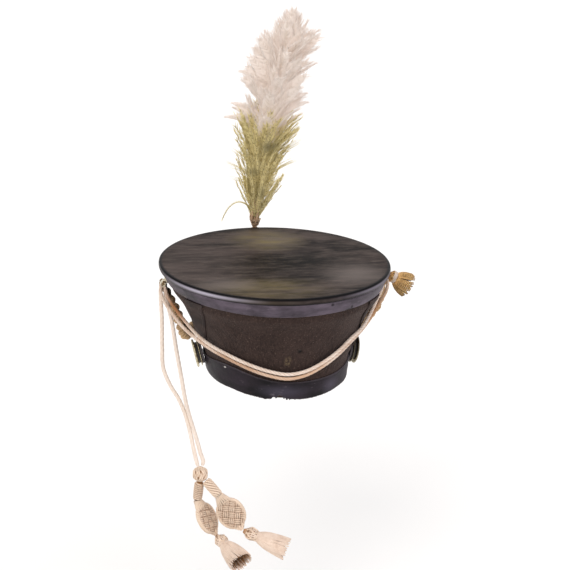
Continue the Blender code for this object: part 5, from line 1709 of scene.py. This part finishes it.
def make_tuft(mats):
    """Golden tassel at the right hook, with a cream wound band."""
    crown = crown_settings()
    wire = 0.0013
    seat = wall_point(0.0, crown.height - 0.0210, PROUD + crown.seat)
    start = seat + Vector((0.78 * 0.0065, 0, 2.35 * wire))
    along, side, up = frame_at(TUFT_DIRECTION, (0, 0, 1))
    length = cord_settings().tuft
    gold, dark, band = mats
    paths = [[]]
    for n in range(4 * 24 + 1):
        share = 0.30 + 0.13 * n / 96
        turn = TAU * 4 * n / 96
        paths[0].append(start + along * (share * length)
                        + (side * math.cos(turn) + up * math.sin(turn)) * (0.0068 + 0.0004 * math.sin(turn)))
    wound = strands("tuft_band", paths, [[0.0009] * 97], band, lobes=3, depth=0.15, pitch=0.005, ring=8)
    make_tassel("tuft_right", start, TUFT_DIRECTION, length, 0.0070, 0.0172, 0.9, (gold, dark, gold),
                41, threads=150, neck=0.17, thread=0.00120, bands=(wound,))


def make_hung():
    cords = cord_settings()
    mat = cord_material("knotted cotton cord", "knot_light", "knot_shade", 6, 3.2, 0.35, 0.18)
    core = cord_material("shaded cord core", "knot_inside_shade", "knot_shade", 6, 3.2, 0.5, 0.6)
    light, shade = tuple(cords.tassel_light), tuple(cords.tassel_shade)
    # The inner tassel threads are darker as painted shade inside the bells
    threads = (loose_strands("silk tassel threads", light, shade, 0.25, 0.30, clear=0.45, marks=(
        ((-0.0089, -0.110, -0.1929), (0.014, 0.060, 0.0055), 0.95, "#B9864F"),
        ((-0.0355, -0.110, -0.1880), (0.008, 0.060, 0.0065), 0.90, "#A06A35"),
        ((-0.0520, -0.100, -0.1920), (0.013, 0.060, 0.0060), 0.80, "#B9864F"))),
               loose_strands("inner tassel threads", shade, linear("#6E4A28"), 0.6, 0.4), mat)
    make_slide_knot(mat, core)
    for word, hang, length, seed in (("left", LEFT_HANG, cords.left_tassel, 7),
                                     ("right", RIGHT_HANG, cords.right_tassel, 19)):
        down, lie, fall, face = (Vector(v) for v in hang)
        down.normalize()
        lie.normalize()
        fall.normalize()
        at = Vector(KNOT_CENTRE) + down * (cords.knot + 0.0003)
        tip = make_collar(word, at, down, mat, core, word == "right")
        foot = make_flounder(word, tip + (down + lie).normalized() * 0.0003, down, lie, face, mat, core,
                             20.0 if word == "left" else 38.0)
        make_tassel("tassel_" + word, foot + (lie + fall).normalized() * 0.0003, fall, length, cords.tassel_head,
                    cords.tassel_skirt, 0.84, threads, seed, 290)


# Stage

def make_stage():
    """Camera at the photograph's angle, a white sweep and soft studio lights."""
    stage = bpy.context.scene.shako_stage
    a, e, r = (math.radians(v) for v in (stage.azimuth, stage.elevation, stage.roll))
    back = Vector((math.sin(a) * math.cos(e), -math.cos(a) * math.cos(e), math.sin(e)))
    right = Vector((math.cos(a), math.sin(a), 0.0))
    up = back.cross(right)
    across = right * math.cos(r) + up * math.sin(r)
    upward = -right * math.sin(r) + up * math.cos(r)
    lens = bpy.data.cameras.new("camera")
    lens.lens = stage.lens
    lens.sensor_width = 36.0
    lens.clip_end = 20.0
    camera = bpy.data.objects.new("camera", lens)
    place = Matrix((across, upward, back)).transposed().to_4x4()
    place.translation = Vector((0.00895, 0.0, 0.1045)) + back * stage.distance
    camera.matrix_world = place
    bpy.context.scene.collection.objects.link(camera)
    bpy.context.scene.camera = camera

    low = -stage.floor
    near, wide, far = -4.0, 7.0, 12.0
    floor = mesh_piece("floor", [(-wide, near, low), (wide, near, low), (wide, far, low), (-wide, far, low)],
                       [(0, 1, 2, 3)], paper_sweep(tuple(stage.pale)))

    # Wide soft sources, given as azimuth and height in degrees, strength, spread in degrees and colour
    for name, turn, rise, power, spread, code in (
            ("key", -32.0, 48.0, 1.25, 40.0, "#FFFBF8"), ("fill", 52.0, 40.0, 0.75, 60.0, "#F6F3FF"),
            ("top", 150.0, 76.0, 0.60, 80.0, "#FFFFFF")):
        lamp = bpy.data.lights.new(name, "SUN")
        lamp.energy = power
        lamp.angle = math.radians(spread)
        lamp.color = linear(code)
        light = bpy.data.objects.new(name, lamp)
        a, e = math.radians(turn), math.radians(rise)
        away = Vector((math.sin(a) * math.cos(e), -math.cos(a) * math.cos(e), math.sin(e)))
        light.matrix_world = Matrix.Translation(away * 3) @ away.to_track_quat("Z", "Y").to_matrix().to_4x4()
        bpy.context.scene.collection.objects.link(light)
    world = bpy.data.worlds.new("studio")
    world.use_nodes = True
    world.node_tree.nodes["Background"].inputs[0].default_value = (1.0, 1.0, 1.0, 1.0)
    world.node_tree.nodes["Background"].inputs[1].default_value = 0.56
    bpy.context.scene.world = world
    bpy.context.scene.view_settings.view_transform = "Standard"


# Operators

class SHAKO_OT_stage(bpy.types.Operator):
    """Sets the camera, the white floor and the lights"""
    bl_idname = "shako.stage"
    bl_label = "Stage"

    def execute(self, context):
        make_stage()
        return {"FINISHED"}


class SHAKO_OT_cords(bpy.types.Operator):
    """Makes the swagged cords and the hanging lines"""
    bl_idname = "shako.cords"
    bl_label = "Cords"

    def execute(self, context):
        make_cords()
        return {"FINISHED"}


class SHAKO_OT_felt(bpy.types.Operator):
    """Makes the felt wall of the crown"""
    bl_idname = "shako.felt"
    bl_label = "Felt crown"

    def execute(self, context):
        make_felt()
        return {"FINISHED"}


class SHAKO_OT_leather(bpy.types.Operator):
    """Makes the leather top, bands, side straps and peak"""
    bl_idname = "shako.leather"
    bl_label = "Leather"

    def execute(self, context):
        # Tear and nail hole in the top band, painted near black as the shade inside them
        torn = (((0.0410, -0.1300, 0.1246), (0.0032, 0.02, 0.0028), 1.0, "#020202"),
                ((0.0625, -0.1155, 0.1135), (0.0070, 0.03, 0.0020), 1.0, "#050404"),
                ((0.0665, -0.1140, 0.1155), (0.0024, 0.03, 0.0044), 1.0, "#050404"))
        # Painted violet highlights on the base band, and the pale head of a small rivet
        violet_highlights_and_rivet = (((-0.010, -0.1000, 0.0100), (0.040, 0.03, 0.012), 0.35, "#5E5868"),
                  ((0.052, -0.0850, 0.0080), (0.018, 0.03, 0.014), 0.40, "#5F5868"),
                  ((-0.0710, -0.0657, 0.0287), (0.0016, 0.02, 0.0016), 0.9, "#E8E2DC"))
        upper = smooth_leather("blacked top band leather", 0.46, 0.40, "#655A66", "#2A242A", 0.25, torn, 0.0, 0.16)
        band = smooth_leather("blacked band leather", 0.48, 0.40, None, None, 0.35, violet_highlights_and_rivet, 0.0, 0.14)
        strap = smooth_leather("blacked strap leather", 0.70, 0.45, "#473A36", "#251D1B", 0.05, (), 0.0, 0.12)
        peak = smooth_leather("waxed peak leather", 0.34, 0.30, "#2F2A2A", "#151213")
        thread = loose_strands("waxed linen thread", linear("#6B5F52"), linear("#3A3129"), 0.5, 0.3)
        make_top(waxed_top())
        make_bands(upper, band)
        make_straps(strap, thread)
        make_peak(peak, thread)
        return {"FINISHED"}


class SHAKO_OT_brass(bpy.types.Operator):
    """Makes the bosses, the hooks and the plume holder"""
    bl_idname = "shako.brass"
    bl_label = "Brass"

    def execute(self, context):
        # The dark mark over the right boss is painted shade
        boss = aged_brass("stamped brass, tarnished", "#E9DFC0", "#7A6C48",
                          (((0.115, 0.0, 0.040), (0.080, 0.150, 0.080), 0.93, "#2A231B"),))
        washer = smooth_leather("boss washer leather", 0.6, 0.2, "#231E1C", "#0F0D0C")
        small = aged_brass("drawn brass wire", "#F6F0DE", "#B7A785")
        make_bosses(boss, washer)
        make_hooks(small)
        make_socket(aged_brass("brass tube", "#C9AE72", "#7A6236"))
        return {"FINISHED"}


class SHAKO_OT_plume(bpy.types.Operator):
    """Makes the stem and the green and white feathers"""
    bl_idname = "shako.plume"
    bl_label = "Plume"

    def execute(self, context):
        plume = plume_settings()
        make_plume({
            "quill": loose_strands("split quill", tuple(plume.quill), linear("#8A6A4E"), 0.6, 0.4, 0.55),
            "thread": loose_strands("waxed binding thread", linear("#C3A888"), linear("#8A6A50"), 0.5, 0.4),
            # Green: the five dark marks are painted shade at the roots of the whorls, and each barb's dark root and
            # pale tip are painted shade and painted highlight
            "green": loose_strands("dyed cock hackle", tuple(plume.green_tip), tuple(plume.green_root), 0.45, 0.75,
                                   through=0.06, clear=0.46, marks=(
                                       ((0.0084, 0.119, 0.2428), (0.018, 0.030, 0.014), 0.85, "#5E5224"),
                                       ((-0.0165, 0.119, 0.2111), (0.014, 0.030, 0.011), 0.80, "#5E5224"),
                                       ((-0.0020, 0.119, 0.1830), (0.006, 0.030, 0.020), 0.70, "#6E6028"),
                                       ((0.0238, 0.119, 0.2387), (0.012, 0.030, 0.010), 0.60, "#6E6028"),
                                       ((-0.0218, 0.119, 0.2327), (0.009, 0.030, 0.008), 0.55, "#6E6028"))),
            "white": loose_strands("bleached goose down", tuple(plume.white_tip), tuple(plume.white_root), 0.4,
                                   0.30, through=0.20, clear=0.42)})
        return {"FINISHED"}


class SHAKO_OT_plait(bpy.types.Operator):
    """Makes the gold plait at the front"""
    bl_idname = "shako.plait"
    bl_label = "Front plait"

    def execute(self, context):
        # The two near-black marks at the left end of the plait are painted shade
        make_plait(cord_material("darkened gilt cord", "gold", "gold_shade", 7, 3.5, 0.7, 0.35,
                                 (((-0.1330, 0.0110, 0.1020), (0.020, 0.020, 0.026), 0.95, "#1C130C"),
                                  ((-0.1090, 0.0230, 0.0560), (0.008, 0.020, 0.022), 0.90, "#1C130C"))))
        return {"FINISHED"}


class SHAKO_OT_hung(bpy.types.Operator):
    bl_idname = "shako.hung"
    bl_label = "Knots and tassels"

    def execute(self, context):
        cords = cord_settings()
        make_hung()
        gold, deep = tuple(cords.gold), tuple(cords.gold_shade)
        # The inner gilt threads are darker as painted shade inside the tuft
        make_tuft((loose_strands("gilt thread", linear("#F6CF8C"), linear("#CF9450"), 0.9, 0.15),
                   loose_strands("inner gilt thread", linear("#A97A3E"), deep, 0.8, 0.5),
                   cord_material("cream whipping thread", "cream", "cream_shade", 5, 3.0, 0.4, 0.2)))
        return {"FINISHED"}


OPERATORS = (SHAKO_OT_stage, SHAKO_OT_cords, SHAKO_OT_felt, SHAKO_OT_leather, SHAKO_OT_brass, SHAKO_OT_plume,
             SHAKO_OT_plait, SHAKO_OT_hung)
SETTINGS = (("shako_crown", CrownSettings), ("shako_plume", PlumeSettings), ("shako_cords", CordSettings),
            ("shako_stage", StageSettings))


class SHAKO_PT_panel(bpy.types.Panel):
    """Lists the cap's pieces and their sizes"""
    bl_idname = "SHAKO_PT_panel"
    bl_label = "Shako"
    bl_space_type = "VIEW_3D"
    bl_region_type = "UI"
    bl_category = "Shako"

    def draw(self, context):
        layout = self.layout
        for operator in OPERATORS:
            layout.operator(operator.bl_idname)
        for word, group in SETTINGS:
            box = layout.box()
            for prop in group.__annotations__:
                box.prop(getattr(context.scene, word), prop)


def register():
    for _, group in SETTINGS:
        bpy.utils.register_class(group)
    for word, group in SETTINGS:
        setattr(bpy.types.Scene, word, bpy.props.PointerProperty(type=group))
    for operator in OPERATORS:
        bpy.utils.register_class(operator)
    bpy.utils.register_class(SHAKO_PT_panel)


def unregister():
    bpy.utils.unregister_class(SHAKO_PT_panel)
    for operator in reversed(OPERATORS):
        bpy.utils.unregister_class(operator)
    for word, group in reversed(SETTINGS):
        delattr(bpy.types.Scene, word)
        bpy.utils.unregister_class(group)


def main():
    register()
    bpy.ops.shako.stage()
    bpy.ops.shako.cords()
    bpy.ops.shako.felt()
    bpy.ops.shako.leather()
    bpy.ops.shako.brass()
    bpy.ops.shako.plume()
    bpy.ops.shako.plait()
    bpy.ops.shako.hung()


if __name__ == "__main__":
    main()
